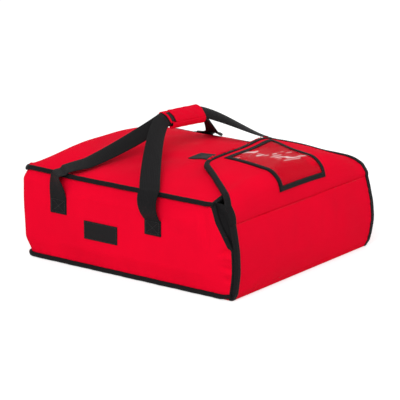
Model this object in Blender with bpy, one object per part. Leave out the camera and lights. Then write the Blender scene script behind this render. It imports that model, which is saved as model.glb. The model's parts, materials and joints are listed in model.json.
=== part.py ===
"""Padded pizza delivery bag with a front flap, a folding lap with a ticket pocket, and two webbing handles.

Metres, +Z up. The flap faces -Y and the label is on the -X side.
The origin is on the floor under the middle of the bag.
"""

import math

import bmesh
import bpy
from mathutils import Matrix, Vector

# Outside of the bag, without its piping
WIDTH = 0.419
DEPTH = 0.457
SIDE_HEIGHT = 0.165
CORNER_RADIUS = 0.018

# The sandwich of every panel: fabric outside, foam, liner inside
SHELL_THICK = 0.0010
FOAM_THICK = 0.0035
LINER_THICK = 0.0007
GAP = 0.0003

# How far the panels swell past their seams
TOP_CROWN = 0.031
TOP_BACK_RUN = 0.045
TOP_FRONT_DROP = 0.006
TOP_FRONT_RUN = 0.093
SIDE_BULGE = 0.005
BACK_BULGE = 0.0110
FRONT_BULGE = 0.0015
CROWN_POWER = 2.8
FADE_SHARE = 0.22

# Mouth of the bag: upright below the knee, slanting back above it
MOUTH_KNEE_HEIGHT = 0.094
MOUTH_SLANT_RUN = 0.0295

# Folded tape that binds the edges
BINDING_THICK = 0.0010
BINDING_GAP = 0.0005
BINDING_LEG = 0.0080

# Piping along the seams of the sides and the back
PIPING_GAP = 0.0005
PIPING_DEEP = 0.0050
PIPING_TALL = 0.0090
PIPING_STAND = 0.0030
PIPING_FLOOR_GAP = 0.0006

# Front flap
FLAP_BOTTOM_HEIGHT = 0.0022
FLAP_BOW = 0.0095
FLAP_BOW_SHARE = 0.65
CREASE_DROP = 0.031
CREASE_OUT = 0.0080
CREASE_GAP = 0.0004
FLAP_EDGE_INSET = 0.0010

# Lap: the part of the flap that lies on the top panel
LAP_TURN_RUN = 0.0355
LAP_REACH = 0.1375
LAP_END_HALF = 0.107
LAP_TAPER_START = 0.0080
LAP_CORNER_RADIUS = 0.038

# Hook and loop strips between the lap and the top panel
STRIP_WIDTH = 0.038
STRIP_THICK = 0.0011
STRIP_GAP = 0.0007
STRIP_OFFSET = 0.057
NEAR_LOOP_LENGTH = 0.120
FAR_LOOP_LENGTH = 0.070
HOOK_LENGTH = 0.062
HOOK_SETBACK = 0.016
NEAR_LOOP_SHOWING = 0.056
FAR_LOOP_HIDDEN = 0.012

# Ticket pocket on the lap
POCKET_WIDTH = 0.140
POCKET_FRAME = 0.010
POCKET_BACK_SETBACK = 0.018
POCKET_SHEET_THICK = 0.0004
POCKET_FRAME_THICK = 0.0010
POCKET_GAP = 0.0005
POCKET_FRONT_ANGLE = 26.0

# Label on the near side
LABEL_WIDTH = 0.075
LABEL_HEIGHT = 0.033
LABEL_THICK = 0.0008
LABEL_OFFSET = 0.0095
LABEL_DROP = 0.0910
LABEL_GAP = 0.0005

# Gusset in the slant of the mouth
GUSSET_THICK = 0.0010
GUSSET_TOP_GAP = 0.0010
GUSSET_FRONT_TOP_RISE = 0.001
GUSSET_TOP_RUN = 0.0175

# Webbing handles
STRAP_WIDTH = 0.036
STRAP_THICK = 0.0016
STRAP_GAP = 0.0006
STRAP_REAR_SETBACK = 0.0775
STRAP_FRONT_SETBACK = 0.1645
STRAP_TAB_DROP = 0.075
STRAP_TAB_TALL = 0.027
STRAP_TURN_RADIUS = 0.004
STRAP_TURN_ANGLE = 72.0
STRAP_LEAN = 0.045
STRAP_PULL = 0.022
STRAP_GRIP_PULL = 0.014
STRAP_GRIP_DIP = 0.020
STRAP_GRIP_WIDTH = 0.029

# Grip round both straps
GRIP_OFFSET = -0.0075
GRIP_RISE = 0.0805
GRIP_LENGTH = 0.112
GRIP_COVER_SETBACK = 0.013
GRIP_STRAP_OVERHANG = 0.004
GRIP_WRAP_THICK = 0.0016
GRIP_STRIP_THICK = 0.0009
GRIP_STRIP_MARGIN = 0.004
GRIP_LEAF_MARGIN = 0.002
GRIP_YAW = 5.7
GRIP_DROOP = 4.3
GRIP_TILT = 42.0

# Travel of the moving pieces: where their hinges are
FLAP_HINGE_HEIGHT = 0.0030
LAP_HINGE_CLEARANCE = 0.0002

# Shares of a panel's length where its faces are divided
TOP_ROW_SHARES = (0.0, 0.03, 0.15, 0.30, 0.46, 0.62, 0.76, 0.86, 0.925, 0.965, 1.0)
TOP_COLUMN_SHARES = (-1.0, -0.95, -0.87, -0.74, -0.54, -0.3, 0.0, 0.3, 0.54, 0.74, 0.87, 0.95, 1.0)
SIDE_COLUMN_SHARES = (0.0, 0.03, 0.12, 0.28, 0.5, 0.72, 0.88, 1.0)
BACK_COLUMN_SHARES = (0.0, 0.07, 0.2, 0.4, 0.6, 0.8, 0.93, 1.0)
LOWER_ROW_SHARES = (0.0, 0.08, 0.4, 0.75, 1.0)
UPPER_ROW_SHARES = (0.45, 0.78, 0.92, 1.0)
FRONT_COLUMN_SHARES = (-1.0, -0.93, -0.7, -0.4, 0.0, 0.4, 0.7, 0.93, 1.0)
FRONT_ROW_SHARES = (0.0, 0.15, 0.38, 0.65, 0.87, 1.0)
LAP_COLUMN_SHARES = (-1.0, -0.84, -0.62, -0.4, -0.2, 0.0, 0.2, 0.4, 0.62, 0.84, 1.0)
STRIP_ROW_SHARES = (0.0, 0.25, 0.5, 0.75, 1.0)
STRIP_COLUMN_SHARES = (-0.5, 0.0, 0.5)
POCKET_COLUMN_SHARES = (-1.0, -0.45, 0.0, 0.45, 1.0)
POCKET_BACK_SHARES = (1 / 3, 2 / 3, 1.0)
POCKET_CLEAR_SHARE = 4 / 3
LABEL_ROW_SHARES = (-0.5, 0.0, 0.5)
LABEL_COLUMN_SHARES = (-0.5, -0.17, 0.17, 0.5)
STRAP_COLUMN_SHARES = (-0.5, -0.17, 0.17, 0.5)
STRAP_SECTION_SHARES = ((0.5, 0.5), (-0.5, 0.5), (-0.5, -0.5), (0.5, -0.5))
PIPING_SECTION_SHARES = ((0.0, 0.0), (0.45, 0.0), (0.92, 0.4), (1.0, 0.72), (0.68, 0.96), (0.0, 1.0))
CORNER_STEPS = 4
LAP_TURN_STEPS = 8
LAP_TOP_STEPS = 3
LAP_CORNER_STEPS = 3
LAP_TURN_SHARE = 0.4
STRAP_TURN_STEPS = 4
LEG_STEPS = 14
GRIP_BEND_STEPS = 6
PROBE_SHARE = 0.0005
WELD_SHARE = 0.01
SHARP_ANGLE = 35.0
QUARTER = math.radians(90)

# Sizes worked out from the ones above
WALL = SHELL_THICK + FOAM_THICK + LINER_THICK + 2 * GAP
SHELL = (0.0, SHELL_THICK)
FOAM = (SHELL_THICK + GAP, SHELL_THICK + GAP + FOAM_THICK)
LINER = (WALL - LINER_THICK, WALL)
LAYERS = {"shell": SHELL, "foam": FOAM, "liner": LINER}
BINDING_REACH = BINDING_GAP + BINDING_THICK
HALF_WIDTH = WIDTH / 2
FRONT_Y = -DEPTH / 2
BACK_Y = DEPTH / 2
CORNER_Y = BACK_Y - CORNER_RADIUS
INNER_FRONT_Y = FRONT_Y + WALL + BINDING_REACH + GAP
MOUTH_LOW_Y = INNER_FRONT_Y + BINDING_REACH + GAP
MOUTH_TOP_Y = MOUTH_LOW_Y + MOUTH_SLANT_RUN
FLAP_HALF = HALF_WIDTH - FLAP_EDGE_INSET
CREASE_HEIGHT = SIDE_HEIGHT - CREASE_DROP
CREASE_Y = FRONT_Y - CREASE_OUT
FLAP_TOP = CREASE_HEIGHT - CREASE_GAP / 2
LAP_BOTTOM = CREASE_HEIGHT + CREASE_GAP / 2
LAP_TURN_Y = FRONT_Y + LAP_TURN_RUN
LAP_END_Y = FRONT_Y + LAP_REACH
LAP_TAPER_Y = FRONT_Y + LAP_TAPER_START
STRIP_STACK = 2 * STRIP_THICK + 2 * STRIP_GAP + GAP
LAP_LIFT = WALL + STRIP_STACK
PIPING_TOP_LOW = SIDE_HEIGHT + PIPING_STAND - PIPING_TALL
PIPING_BOTTOM_HIGH = PIPING_FLOOR_GAP + PIPING_TALL
SEAM_HALF_ANGLE = GAP / (CORNER_RADIUS - WALL) / 2
REAR_STRAP_Y = BACK_Y - STRAP_REAR_SETBACK
FRONT_STRAP_Y = FRONT_Y + STRAP_FRONT_SETBACK
STRAPS_MIDDLE_Y = (REAR_STRAP_Y + FRONT_STRAP_Y) / 2
STRAP_TAB_HEIGHT = SIDE_HEIGHT - STRAP_TAB_DROP
STRAP_RIDE = PIPING_GAP + PIPING_DEEP + STRAP_GAP
STRAP_STEP = STRAP_THICK / 2 + GAP / 2
GRIP_Y = STRAPS_MIDDLE_Y + GRIP_OFFSET
GRIP_HEIGHT = SIDE_HEIGHT + GRIP_RISE
LABEL_Y = STRAPS_MIDDLE_Y + LABEL_OFFSET
LABEL_Z = SIDE_HEIGHT - LABEL_DROP


def smooth(value):
    """Eased step from 0 to 1."""
    value = max(0.0, min(1.0, value))
    return value * value * (3 - 2 * value)


def swell(share):
    """1 over the middle of a panel, easing to 0 at both of its seams."""
    return smooth(share / FADE_SHARE) * smooth((1 - share) / FADE_SHARE)


def between(low, high, share):
    return low + (high - low) * share


# Materials

def finish(name, colour, roughness, alpha=1.0):
    material = bpy.data.materials.get(name)
    if material:
        return material
    material = bpy.data.materials.new(name)
    material.use_nodes = True
    shader = material.node_tree.nodes["Principled BSDF"]
    shader.inputs["Base Color"].default_value = (*colour, 1.0)
    shader.inputs["Roughness"].default_value = roughness
    shader.inputs["Metallic"].default_value = 0.0
    shader.inputs["Alpha"].default_value = alpha
    return material


def red_nylon():
    return finish("red_nylon", (0.76, 0.005, 0.020), 0.62)


def black_nylon():
    return finish("black_nylon", (0.014, 0.013, 0.014), 0.7)


def black_webbing():
    return finish("black_webbing", (0.016, 0.015, 0.016), 0.75)


def grey_foam():
    return finish("grey_foam", (0.45, 0.45, 0.47), 0.9)


def dark_liner():
    return finish("dark_liner", (0.035, 0.035, 0.038), 0.55)


def hook_and_loop():
    return finish("hook_and_loop", (0.012, 0.012, 0.012), 0.95)


def clear_vinyl():
    return finish("clear_vinyl", (0.85, 0.80, 0.80), 0.1, 0.35)


def woven_label():
    return finish("woven_label", (0.018, 0.016, 0.017), 0.8)


LAYER_FINISH = {"shell": red_nylon, "foam": grey_foam, "liner": dark_liner}


# Solids

def add_object(name, mesh_data, material, round_angle):
    bmesh.ops.remove_doubles(mesh_data, verts=mesh_data.verts, dist=GAP * WELD_SHARE)
    bmesh.ops.recalc_face_normals(mesh_data, faces=mesh_data.faces)
    mesh = bpy.data.meshes.new(name)
    mesh_data.to_mesh(mesh)
    mesh_data.free()
    mesh.materials.append(material)
    if round_angle:
        mesh.shade_smooth()
        mesh.set_sharp_from_angle(angle=math.radians(round_angle))
    obj = bpy.data.objects.new(name, mesh)
    bpy.context.scene.collection.objects.link(obj)
    return obj


def panel(name, outer, inner, material, kept=None):
    """Closed sheet between two grids of points; kept says which of its cells are there.

    Every cell is split along the same diagonal, so the layers of a panel nest without touching.
    """
    rows = len(outer)
    columns = len(outer[0])
    mesh = bmesh.new()
    faces = [[[mesh.verts.new(point) for point in row] for row in grid] for grid in (outer, inner)]
    top, low = faces

    def present(i, j):
        inside = 0 <= i < rows - 1 and 0 <= j < columns - 1
        return inside and (kept is None or kept(i, j))

    for i in range(rows - 1):
        for j in range(columns - 1):
            if not present(i, j):
                continue
            corners = ((i, j), (i, j + 1), (i + 1, j + 1), (i + 1, j))
            for triangle in ((0, 1, 2), (0, 2, 3)):
                mesh.faces.new([top[corners[k][0]][corners[k][1]] for k in triangle])
                mesh.faces.new([low[corners[k][0]][corners[k][1]] for k in reversed(triangle)])
            beside = ((i - 1, j), (i, j + 1), (i + 1, j), (i, j - 1))
            for k, neighbour in enumerate(beside):
                if not present(*neighbour):
                    a, b = corners[k], corners[(k + 1) % 4]
                    mesh.faces.new((top[b[0]][b[1]], top[a[0]][a[1]], low[a[0]][a[1]], low[b[0]][b[1]]))
    loose = [vertex for vertex in mesh.verts if not vertex.link_faces]
    bmesh.ops.delete(mesh, geom=loose, context="VERTS")
    return add_object(name, mesh, material, SHARP_ANGLE)


def loft(name, rings, material, round_angle=SHARP_ANGLE):
    """Closed body through a row of like rings, with flat ends.

    Each end is a strip between the first and the second half of its ring, which suits folded sections.
    """
    mesh = bmesh.new()
    levels = [[mesh.verts.new(point) for point in ring] for ring in rings]
    count = len(rings[0])
    for low, high in zip(levels, levels[1:]):
        for k in range(count):
            after = (k + 1) % count
            mesh.faces.new((low[k], low[after], high[after], high[k]))
    for k in range(count // 2):
        corners = dict.fromkeys((k, k + 1, count - 2 - k, count - 1 - k))
        if len(corners) > 2:
            mesh.faces.new([levels[-1][i] for i in corners])
            mesh.faces.new([levels[0][i] for i in reversed(corners)])
    return add_object(name, mesh, material, round_angle)


def tape_ring(edge, normal, inner, inner_normal):
    """Section of a folded tape that holds the edge of a panel.

    Edge and inner are points on the panel's outer face, at its edge and under the rim of the tape.
    """
    outward = edge - inner
    outward = (outward - normal * outward.dot(normal)).normalized()
    over = BINDING_REACH
    under = -WALL - BINDING_REACH
    slot_top = BINDING_GAP
    slot_low = -WALL - BINDING_GAP
    return [
        inner + inner_normal * over,
        edge + outward * over + normal * over,
        edge + outward * over + normal * under,
        inner + inner_normal * under,
        inner + inner_normal * slot_low,
        edge + outward * BINDING_GAP + normal * slot_low,
        edge + outward * BINDING_GAP + normal * slot_top,
        inner + inner_normal * slot_top,
    ]


# Shape of the top panel

def crown_rise(across_share, y):
    """Height of the top panel over its side seams; across_share is -1 to 1 from seam to seam."""
    back = min(1.0, max(0.0, (BACK_Y - y) / TOP_BACK_RUN))
    back = 1 - (1 - back) ** 2
    front = max(0.0, (FRONT_Y + LAP_REACH - y) / TOP_FRONT_RUN)
    side = 1 - min(1.0, abs(across_share)) ** CROWN_POWER
    return (TOP_CROWN * back - TOP_FRONT_DROP * front ** 2) * side


def top_height(x, y):
    return SIDE_HEIGHT + crown_rise(x / HALF_WIDTH, y)


def top_face(inset, depth):
    """Grid on the top panel, drawn in by inset in plan and lowered by depth."""
    rows = []
    for share in TOP_ROW_SHARES:
        y = between(MOUTH_TOP_Y, CORNER_Y, share)
        rows.append((y, y, HALF_WIDTH - inset))
    for step in range(1, CORNER_STEPS + 1):
        angle = QUARTER * step / CORNER_STEPS
        y = CORNER_Y + (CORNER_RADIUS - inset) * math.sin(angle)
        seam_y = CORNER_Y + CORNER_RADIUS * math.sin(angle)
        half = HALF_WIDTH - CORNER_RADIUS + (CORNER_RADIUS - inset) * math.cos(angle)
        rows.append((y, seam_y, half))
    grid = []
    for y, seam_y, half in rows:
        xs = [max(-half, min(half, u * HALF_WIDTH)) for u in TOP_COLUMN_SHARES]
        grid.append([Vector((x, y, top_height(x, seam_y) - depth)) for x in xs])
    return grid


def make_top_panel():
    for layer, (outside, inside) in LAYERS.items():
        outer = top_face(outside, outside)
        inner = top_face(outside, inside)
        panel("top_panel_" + layer, outer, inner, LAYER_FINISH[layer]())


# Bottom panel

def floor_outline(inset, front):
    """Outline of a bottom layer, front left corner first, anticlockwise from above."""
    right = [(HALF_WIDTH - inset, front)]
    for step in range(CORNER_STEPS + 1):
        angle = QUARTER * step / CORNER_STEPS
        right.append(corner_point(1, angle, inset))
    left = [(-x, y) for x, y in reversed(right)]
    return right + left


def make_bottom_panel():
    for layer, (low, high) in LAYERS.items():
        front = FRONT_Y if layer == "shell" else INNER_FRONT_Y
        outline = floor_outline(low, front)
        rings = [[Vector((x, y, z)) for x, y in outline] for z in (low, high)]
        loft("bottom_panel_" + layer, rings, LAYER_FINISH[layer](), 0)


# Side and back panels

def mouth_y(z):
    """Front edge of a side panel."""
    share = max(0.0, (z - MOUTH_KNEE_HEIGHT) / (SIDE_HEIGHT - MOUTH_KNEE_HEIGHT))
    return MOUTH_LOW_Y + MOUTH_SLANT_RUN * share


def wall_heights(edge):
    """Heights of the rows of a wall layer that starts and ends edge inside the box."""
    low = [between(edge, MOUTH_KNEE_HEIGHT, share) for share in LOWER_ROW_SHARES]
    high = [between(MOUTH_KNEE_HEIGHT, SIDE_HEIGHT - edge, share) for share in UPPER_ROW_SHARES]
    return low + high


def wall_share(z):
    """Share of the height between the wall's two lines of piping, where it is free to swell."""
    return (z - PIPING_BOTTOM_HIGH) / (PIPING_TOP_LOW - PIPING_BOTTOM_HIGH)


def side_bulge(y, z):
    front = mouth_y(z)
    return SIDE_BULGE * swell((y - front) / (CORNER_Y - front)) * swell(wall_share(z))


def corner_point(side, angle, depth):
    """Point on a rear corner; the angle is 0 at the side panel and a right angle at the back panel."""
    reach = CORNER_RADIUS - depth
    x = HALF_WIDTH - CORNER_RADIUS + reach * math.cos(angle)
    return side * x, CORNER_Y + reach * math.sin(angle)


def side_face(side, edge, depth):
    outer_rows = wall_heights(SHELL_THICK + GAP)
    grid = []
    for z, outer_z in zip(wall_heights(edge), outer_rows):
        row = []
        for share in SIDE_COLUMN_SHARES:
            y = between(mouth_y(z), CORNER_Y, share)
            bulge = SIDE_BULGE * swell(share) * swell(wall_share(outer_z))
            row.append(Vector((side * (HALF_WIDTH - depth + bulge), y, z)))
        for angle in (QUARTER / CORNER_STEPS, QUARTER / 2 - SEAM_HALF_ANGLE):
            x, y = corner_point(side, angle, depth)
            row.append(Vector((x, y, z)))
        grid.append(row)
    return grid


def make_side_panel(name, side):
    for layer, (outside, inside) in LAYERS.items():
        edge = inside + GAP
        outer = side_face(side, edge, outside)
        inner = side_face(side, edge, inside)
        panel(name + "_" + layer, outer, inner, LAYER_FINISH[layer]())


def back_face(edge, depth):
    outer_rows = wall_heights(SHELL_THICK + GAP)
    turns = (QUARTER / 2 + SEAM_HALF_ANGLE, QUARTER - QUARTER / CORNER_STEPS)
    half = HALF_WIDTH - CORNER_RADIUS
    grid = []
    for z, outer_z in zip(wall_heights(edge), outer_rows):
        row = [Vector((*corner_point(-1, angle, depth), z)) for angle in turns]
        for share in BACK_COLUMN_SHARES:
            bulge = BACK_BULGE * swell(share) * swell(wall_share(outer_z))
            row.append(Vector((between(-half, half, share), BACK_Y - depth + bulge, z)))
        row += [Vector((*corner_point(1, angle, depth), z)) for angle in reversed(turns)]
        grid.append(row)
    return grid


def make_back_panel():
    for layer, (outside, inside) in LAYERS.items():
        edge = inside + GAP
        panel("back_panel_" + layer, back_face(edge, outside), back_face(edge, inside), LAYER_FINISH[layer]())


# Piping and mouth binding

def piping_path(front):
    """Plan of a seam from the left end of the mouth round the back: side, angle and place along the side."""
    path = [(-1, 0.0, front)]
    quarter = [QUARTER * step / CORNER_STEPS for step in range(CORNER_STEPS + 1)]
    path += [(-1, angle, None) for angle in quarter]
    path += [(1, angle, None) for angle in reversed(quarter)]
    path.append((1, 0.0, front))
    return path


def make_piping(name, front, low, flip):
    """Piping whose section stands outside the seam; flip turns its thick side down."""
    rings = []
    for side, angle, along in piping_path(front):
        ring = []
        for deep_share, tall_share in PIPING_SECTION_SHARES:
            x, y = corner_point(side, angle, -PIPING_GAP - PIPING_DEEP * deep_share)
            y = y if along is None else along
            rise = 1 - tall_share if flip else tall_share
            ring.append(Vector((x, y, low + PIPING_TALL * rise)))
        rings.append(ring)
    loft(name, rings, black_nylon())


def make_mouth_side_binding(name, side):
    heights = (PIPING_BOTTOM_HIGH + GAP, MOUTH_KNEE_HEIGHT, PIPING_TOP_LOW - GAP)
    slant = Vector((0, MOUTH_SLANT_RUN, SIDE_HEIGHT - MOUTH_KNEE_HEIGHT)).normalized()
    upright = Vector((0, 0, 1))
    directions = (upright, (upright + slant).normalized(), slant)
    rings = []
    for z, along in zip(heights, directions):
        normal = Vector((side, 0, 0))
        point = Vector((side * HALF_WIDTH, mouth_y(z), z))
        inner = point - Vector((0, -along.z, along.y)) * BINDING_LEG
        rings.append(tape_ring(point, normal, inner, normal))
    loft(name, rings, black_nylon())


def make_mouth_top_binding():
    upright = Vector((0, 0, 1))
    half = HALF_WIDTH - WALL - BINDING_REACH - GAP
    inside = [u * HALF_WIDTH for u in TOP_COLUMN_SHARES if abs(u) * HALF_WIDTH < half - BINDING_REACH]
    rings = []
    for x in [-half] + inside + [half]:
        point = Vector((x, MOUTH_TOP_Y, top_height(x, MOUTH_TOP_Y)))
        inner = Vector((x, MOUTH_TOP_Y + BINDING_LEG, top_height(x, MOUTH_TOP_Y + BINDING_LEG)))
        rings.append(tape_ring(point, upright, inner, upright))
    loft("mouth_binding_top", rings, black_nylon())


def make_gusset(name, side):
    """Thin cloth corner that fills the slant of the mouth behind the closed flap."""
    slant = Vector((0, MOUTH_SLANT_RUN, SIDE_HEIGHT - MOUTH_KNEE_HEIGHT)).normalized()
    clear = BINDING_REACH + GAP
    start = Vector((0, MOUTH_LOW_Y, MOUTH_KNEE_HEIGHT)) + Vector((0, -slant.z, slant.y)) * clear
    front = INNER_FRONT_Y + GAP
    top = PIPING_TOP_LOW - GUSSET_TOP_GAP
    low_z = start.z + max(0.0, front - start.y) * slant.z / slant.y + BINDING_REACH
    low_y = start.y + (low_z - start.z) * slant.y / slant.z
    back_y = start.y + (top - start.z) * slant.y / slant.z
    outline = (
        (front, low_z),
        (low_y, low_z),
        (back_y, top),
        (front + GUSSET_TOP_RUN, top),
        (front, CREASE_HEIGHT + GUSSET_FRONT_TOP_RISE),
    )
    middle = HALF_WIDTH - WALL / 2
    rings = [
        [Vector((side * (middle + offset), y, z)) for y, z in outline]
        for offset in (-GUSSET_THICK / 2, GUSSET_THICK / 2)
    ]
    loft(name, rings, black_nylon(), 0)


# Front flap

def flap_bow(share):
    """How far the flap bows forward at a share of its height, edges and all."""
    if share < FLAP_BOW_SHARE:
        return FLAP_BOW * (1 - (1 - share / FLAP_BOW_SHARE) ** 2)
    past = (share - FLAP_BOW_SHARE) / (1 - FLAP_BOW_SHARE)
    return FLAP_BOW - (FLAP_BOW - CREASE_OUT) * past ** 2


def front_face(depth):
    grid = []
    for row_share in FRONT_ROW_SHARES:
        z = between(FLAP_BOTTOM_HEIGHT, FLAP_TOP, row_share)
        row = []
        for u in FRONT_COLUMN_SHARES:
            bulge = flap_bow(row_share) + FRONT_BULGE * swell((u + 1) / 2) * swell(row_share)
            row.append(Vector((u * FLAP_HALF, FRONT_Y + depth - bulge, z)))
        grid.append(row)
    return grid


def make_front_panel():
    for layer, (outside, inside) in LAYERS.items():
        panel("front_panel_" + layer, front_face(outside), front_face(inside), LAYER_FINISH[layer]())


def make_flap_binding(name, side):
    normal = Vector((0, -1, 0))
    rings = []
    for share in FRONT_ROW_SHARES:
        z = between(FLAP_BOTTOM_HEIGHT, FLAP_TOP, share)
        y = FRONT_Y - flap_bow(share)
        point = Vector((side * FLAP_HALF, y, z))
        inner = Vector((side * (FLAP_HALF - BINDING_LEG), y, z))
        rings.append(tape_ring(point, normal, inner, normal))
    loft(name, rings, black_nylon())


# Lap

def lap_height(x, y):
    return top_height(x, y) + LAP_LIFT


def lap_point(x, t):
    """Point on the lap's outer face: t is 0 at the crease and 1 at the free edge."""
    if t < LAP_TURN_SHARE:
        angle = QUARTER * t / LAP_TURN_SHARE
        rise = lap_height(x, LAP_TURN_Y) - LAP_BOTTOM
        y = between(LAP_TURN_Y, CREASE_Y, math.cos(angle))
        return Vector((x, y, LAP_BOTTOM + rise * math.sin(angle)))
    y = between(LAP_TURN_Y, LAP_END_Y, (t - LAP_TURN_SHARE) / (1 - LAP_TURN_SHARE))
    return Vector((x, y, lap_height(x, y)))


def lap_share(y):
    """The lap's t at a place behind its turn."""
    return between(LAP_TURN_SHARE, 1, (y - LAP_TURN_Y) / (LAP_END_Y - LAP_TURN_Y))


def lap_normal(x, t):
    step = PROBE_SHARE * WIDTH
    before = max(0.0, t - PROBE_SHARE)
    along = lap_point(x, before + 2 * PROBE_SHARE) - lap_point(x, before)
    across = lap_point(x + step, t) - lap_point(x - step, t)
    return across.cross(along).normalized()


def lap_taper():
    return (FLAP_HALF - LAP_END_HALF) / (LAP_END_Y - LAP_TAPER_Y)


def lap_half(y):
    """Half the lap's width before its corners are rounded."""
    return FLAP_HALF - max(0.0, y - LAP_TAPER_Y) * lap_taper()


def lap_rows():
    """Rows of the lap from the crease to the free edge: t, half the width, and the way out in plan."""
    rows = []
    for step in range(LAP_TURN_STEPS + 1):
        t = LAP_TURN_SHARE * step / LAP_TURN_STEPS
        rows.append((t, lap_half(lap_point(0, t).y), (1.0, 0.0)))
    slope = math.atan(lap_taper())
    centre_y = LAP_END_Y - LAP_CORNER_RADIUS
    line = FLAP_HALF * math.cos(slope) + LAP_TAPER_Y * math.sin(slope)
    centre_x = (line - LAP_CORNER_RADIUS - centre_y * math.sin(slope)) / math.cos(slope)
    corner = []
    for step in range(LAP_CORNER_STEPS + 1):
        angle = (QUARTER - slope) * (1 - step / LAP_CORNER_STEPS)
        outward = (math.sin(angle), math.cos(angle))
        y = centre_y + LAP_CORNER_RADIUS * outward[1]
        corner.append((y, centre_x + LAP_CORNER_RADIUS * outward[0], outward))
    corner_start = corner[0][0]
    for step in range(1, LAP_TOP_STEPS):
        y = between(LAP_TURN_Y, corner_start, step / LAP_TOP_STEPS)
        rows.append((lap_share(y), lap_half(y), (1.0, 0.0)))
    rows += [(lap_share(y), half, outward) for y, half, outward in corner]
    return rows


def lap_face(depth):
    grid = []
    for t, half, _ in lap_rows():
        row = []
        for u in LAP_COLUMN_SHARES:
            row.append(lap_point(u * half, t) - lap_normal(u * half, t) * depth)
        grid.append(row)
    return grid


def make_lap():
    for layer, (outside, inside) in LAYERS.items():
        panel("lap_" + layer, lap_face(outside), lap_face(inside), LAYER_FINISH[layer]())


def make_lap_binding():
    """One tape round the lap: up its left edge, along the free edge and down the right edge."""
    rows = lap_rows()
    last_t, last_half, _ = rows[-1]
    stops = [(-half, t, (-out_x, out_y)) for t, half, (out_x, out_y) in rows]
    stops += [(u * last_half, last_t, (0.0, 1.0)) for u in LAP_COLUMN_SHARES[1:-1]]
    stops += [(half, t, outward) for t, half, outward in reversed(rows)]
    rings = []
    for x, t, (out_x, out_y) in stops:
        inner_x = x - BINDING_LEG * out_x
        inner_t = t
        if out_y:
            inner_t = lap_share(lap_point(x, t).y - BINDING_LEG * out_y)
        inner = lap_point(inner_x, inner_t)
        rings.append(tape_ring(lap_point(x, t), lap_normal(x, t), inner, lap_normal(inner_x, inner_t)))
    loft("lap_binding", rings, black_nylon())


def make_loop_strip(name, x_middle, start, length):
    """Loop strip on the top panel, from start towards the mouth."""
    grids = []
    for rise in (STRIP_GAP + STRIP_THICK, STRIP_GAP):
        grid = []
        for share in STRIP_ROW_SHARES:
            y = start - length * share
            xs = [x_middle + STRIP_WIDTH * side for side in STRIP_COLUMN_SHARES]
            grid.append([Vector((x, y, top_height(x, y) + rise)) for x in xs])
        grids.append(grid)
    panel(name, grids[0], grids[1], hook_and_loop())


def make_hook_strip(name, x_middle):
    """Hook strip under the lap."""
    grids = []
    start = LAP_END_Y - HOOK_SETBACK
    for depth in (WALL + STRIP_GAP, WALL + STRIP_GAP + STRIP_THICK):
        grid = []
        for share in STRIP_ROW_SHARES:
            t = lap_share(start - HOOK_LENGTH * share)
            xs = [x_middle + STRIP_WIDTH * side for side in STRIP_COLUMN_SHARES]
            grid.append([lap_point(x, t) - lap_normal(x, t) * depth for x in xs])
        grids.append(grid)
    panel(name, grids[0], grids[1], hook_and_loop())


def pocket_rows():
    """Rows of the pocket: the frame's front bar, the window, the frame's back bar."""
    turn_length = QUARTER * (LAP_TURN_Y - CREASE_Y + lap_height(0, LAP_TURN_Y) - LAP_BOTTOM) / 2
    front = LAP_TURN_SHARE * POCKET_FRONT_ANGLE / 90
    bar = LAP_TURN_SHARE * POCKET_FRAME / turn_length
    back_y = LAP_END_Y - POCKET_BACK_SETBACK
    turn_rows = [LAP_TURN_SHARE * step / LAP_TURN_STEPS for step in range(LAP_TURN_STEPS + 1)]
    rows = [front, front + bar]
    rows += [t for t in turn_rows if t > front + bar * POCKET_CLEAR_SHARE]
    rows += [lap_share(between(LAP_TURN_Y, back_y - POCKET_FRAME, share)) for share in POCKET_BACK_SHARES]
    rows.append(lap_share(back_y))
    return rows


def pocket_face(lift):
    half = POCKET_WIDTH / 2
    inner_half = half - POCKET_FRAME
    xs = [-half] + [u * inner_half for u in POCKET_COLUMN_SHARES] + [half]
    return [[lap_point(x, t) + lap_normal(x, t) * lift for x in xs] for t in pocket_rows()]


def make_pocket():
    sheet_top = POCKET_GAP + POCKET_SHEET_THICK
    panel("pocket_window", pocket_face(sheet_top), pocket_face(POCKET_GAP), clear_vinyl())
    frame_low = sheet_top + GAP
    last_row = len(pocket_rows()) - 2
    last_column = len(POCKET_COLUMN_SHARES)

    def border(i, j):
        return i in (0, last_row) or j in (0, last_column)

    outer = pocket_face(frame_low + POCKET_FRAME_THICK)
    panel("pocket_frame", outer, pocket_face(frame_low), black_nylon(), border)


# Label

def make_label():
    grids = []
    for rise in (LABEL_GAP + LABEL_THICK, LABEL_GAP):
        grid = []
        for row_share in LABEL_ROW_SHARES:
            z = LABEL_Z + LABEL_HEIGHT * row_share
            row = []
            for column_share in LABEL_COLUMN_SHARES:
                y = LABEL_Y + LABEL_WIDTH * column_share
                row.append(Vector((-HALF_WIDTH - side_bulge(y, z) - rise, y, z)))
            grid.append(row)
        grids.append(grid)
    panel("label_patch", grids[0], grids[1], woven_label())


# Straps

def strap_turn():
    """Centre of the strap's turn over the piping, as a distance outside the wall and a height."""
    over = SIDE_HEIGHT + PIPING_STAND + STRAP_GAP
    return STRAP_RIDE - STRAP_TURN_RADIUS, over - STRAP_TURN_RADIUS


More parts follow.
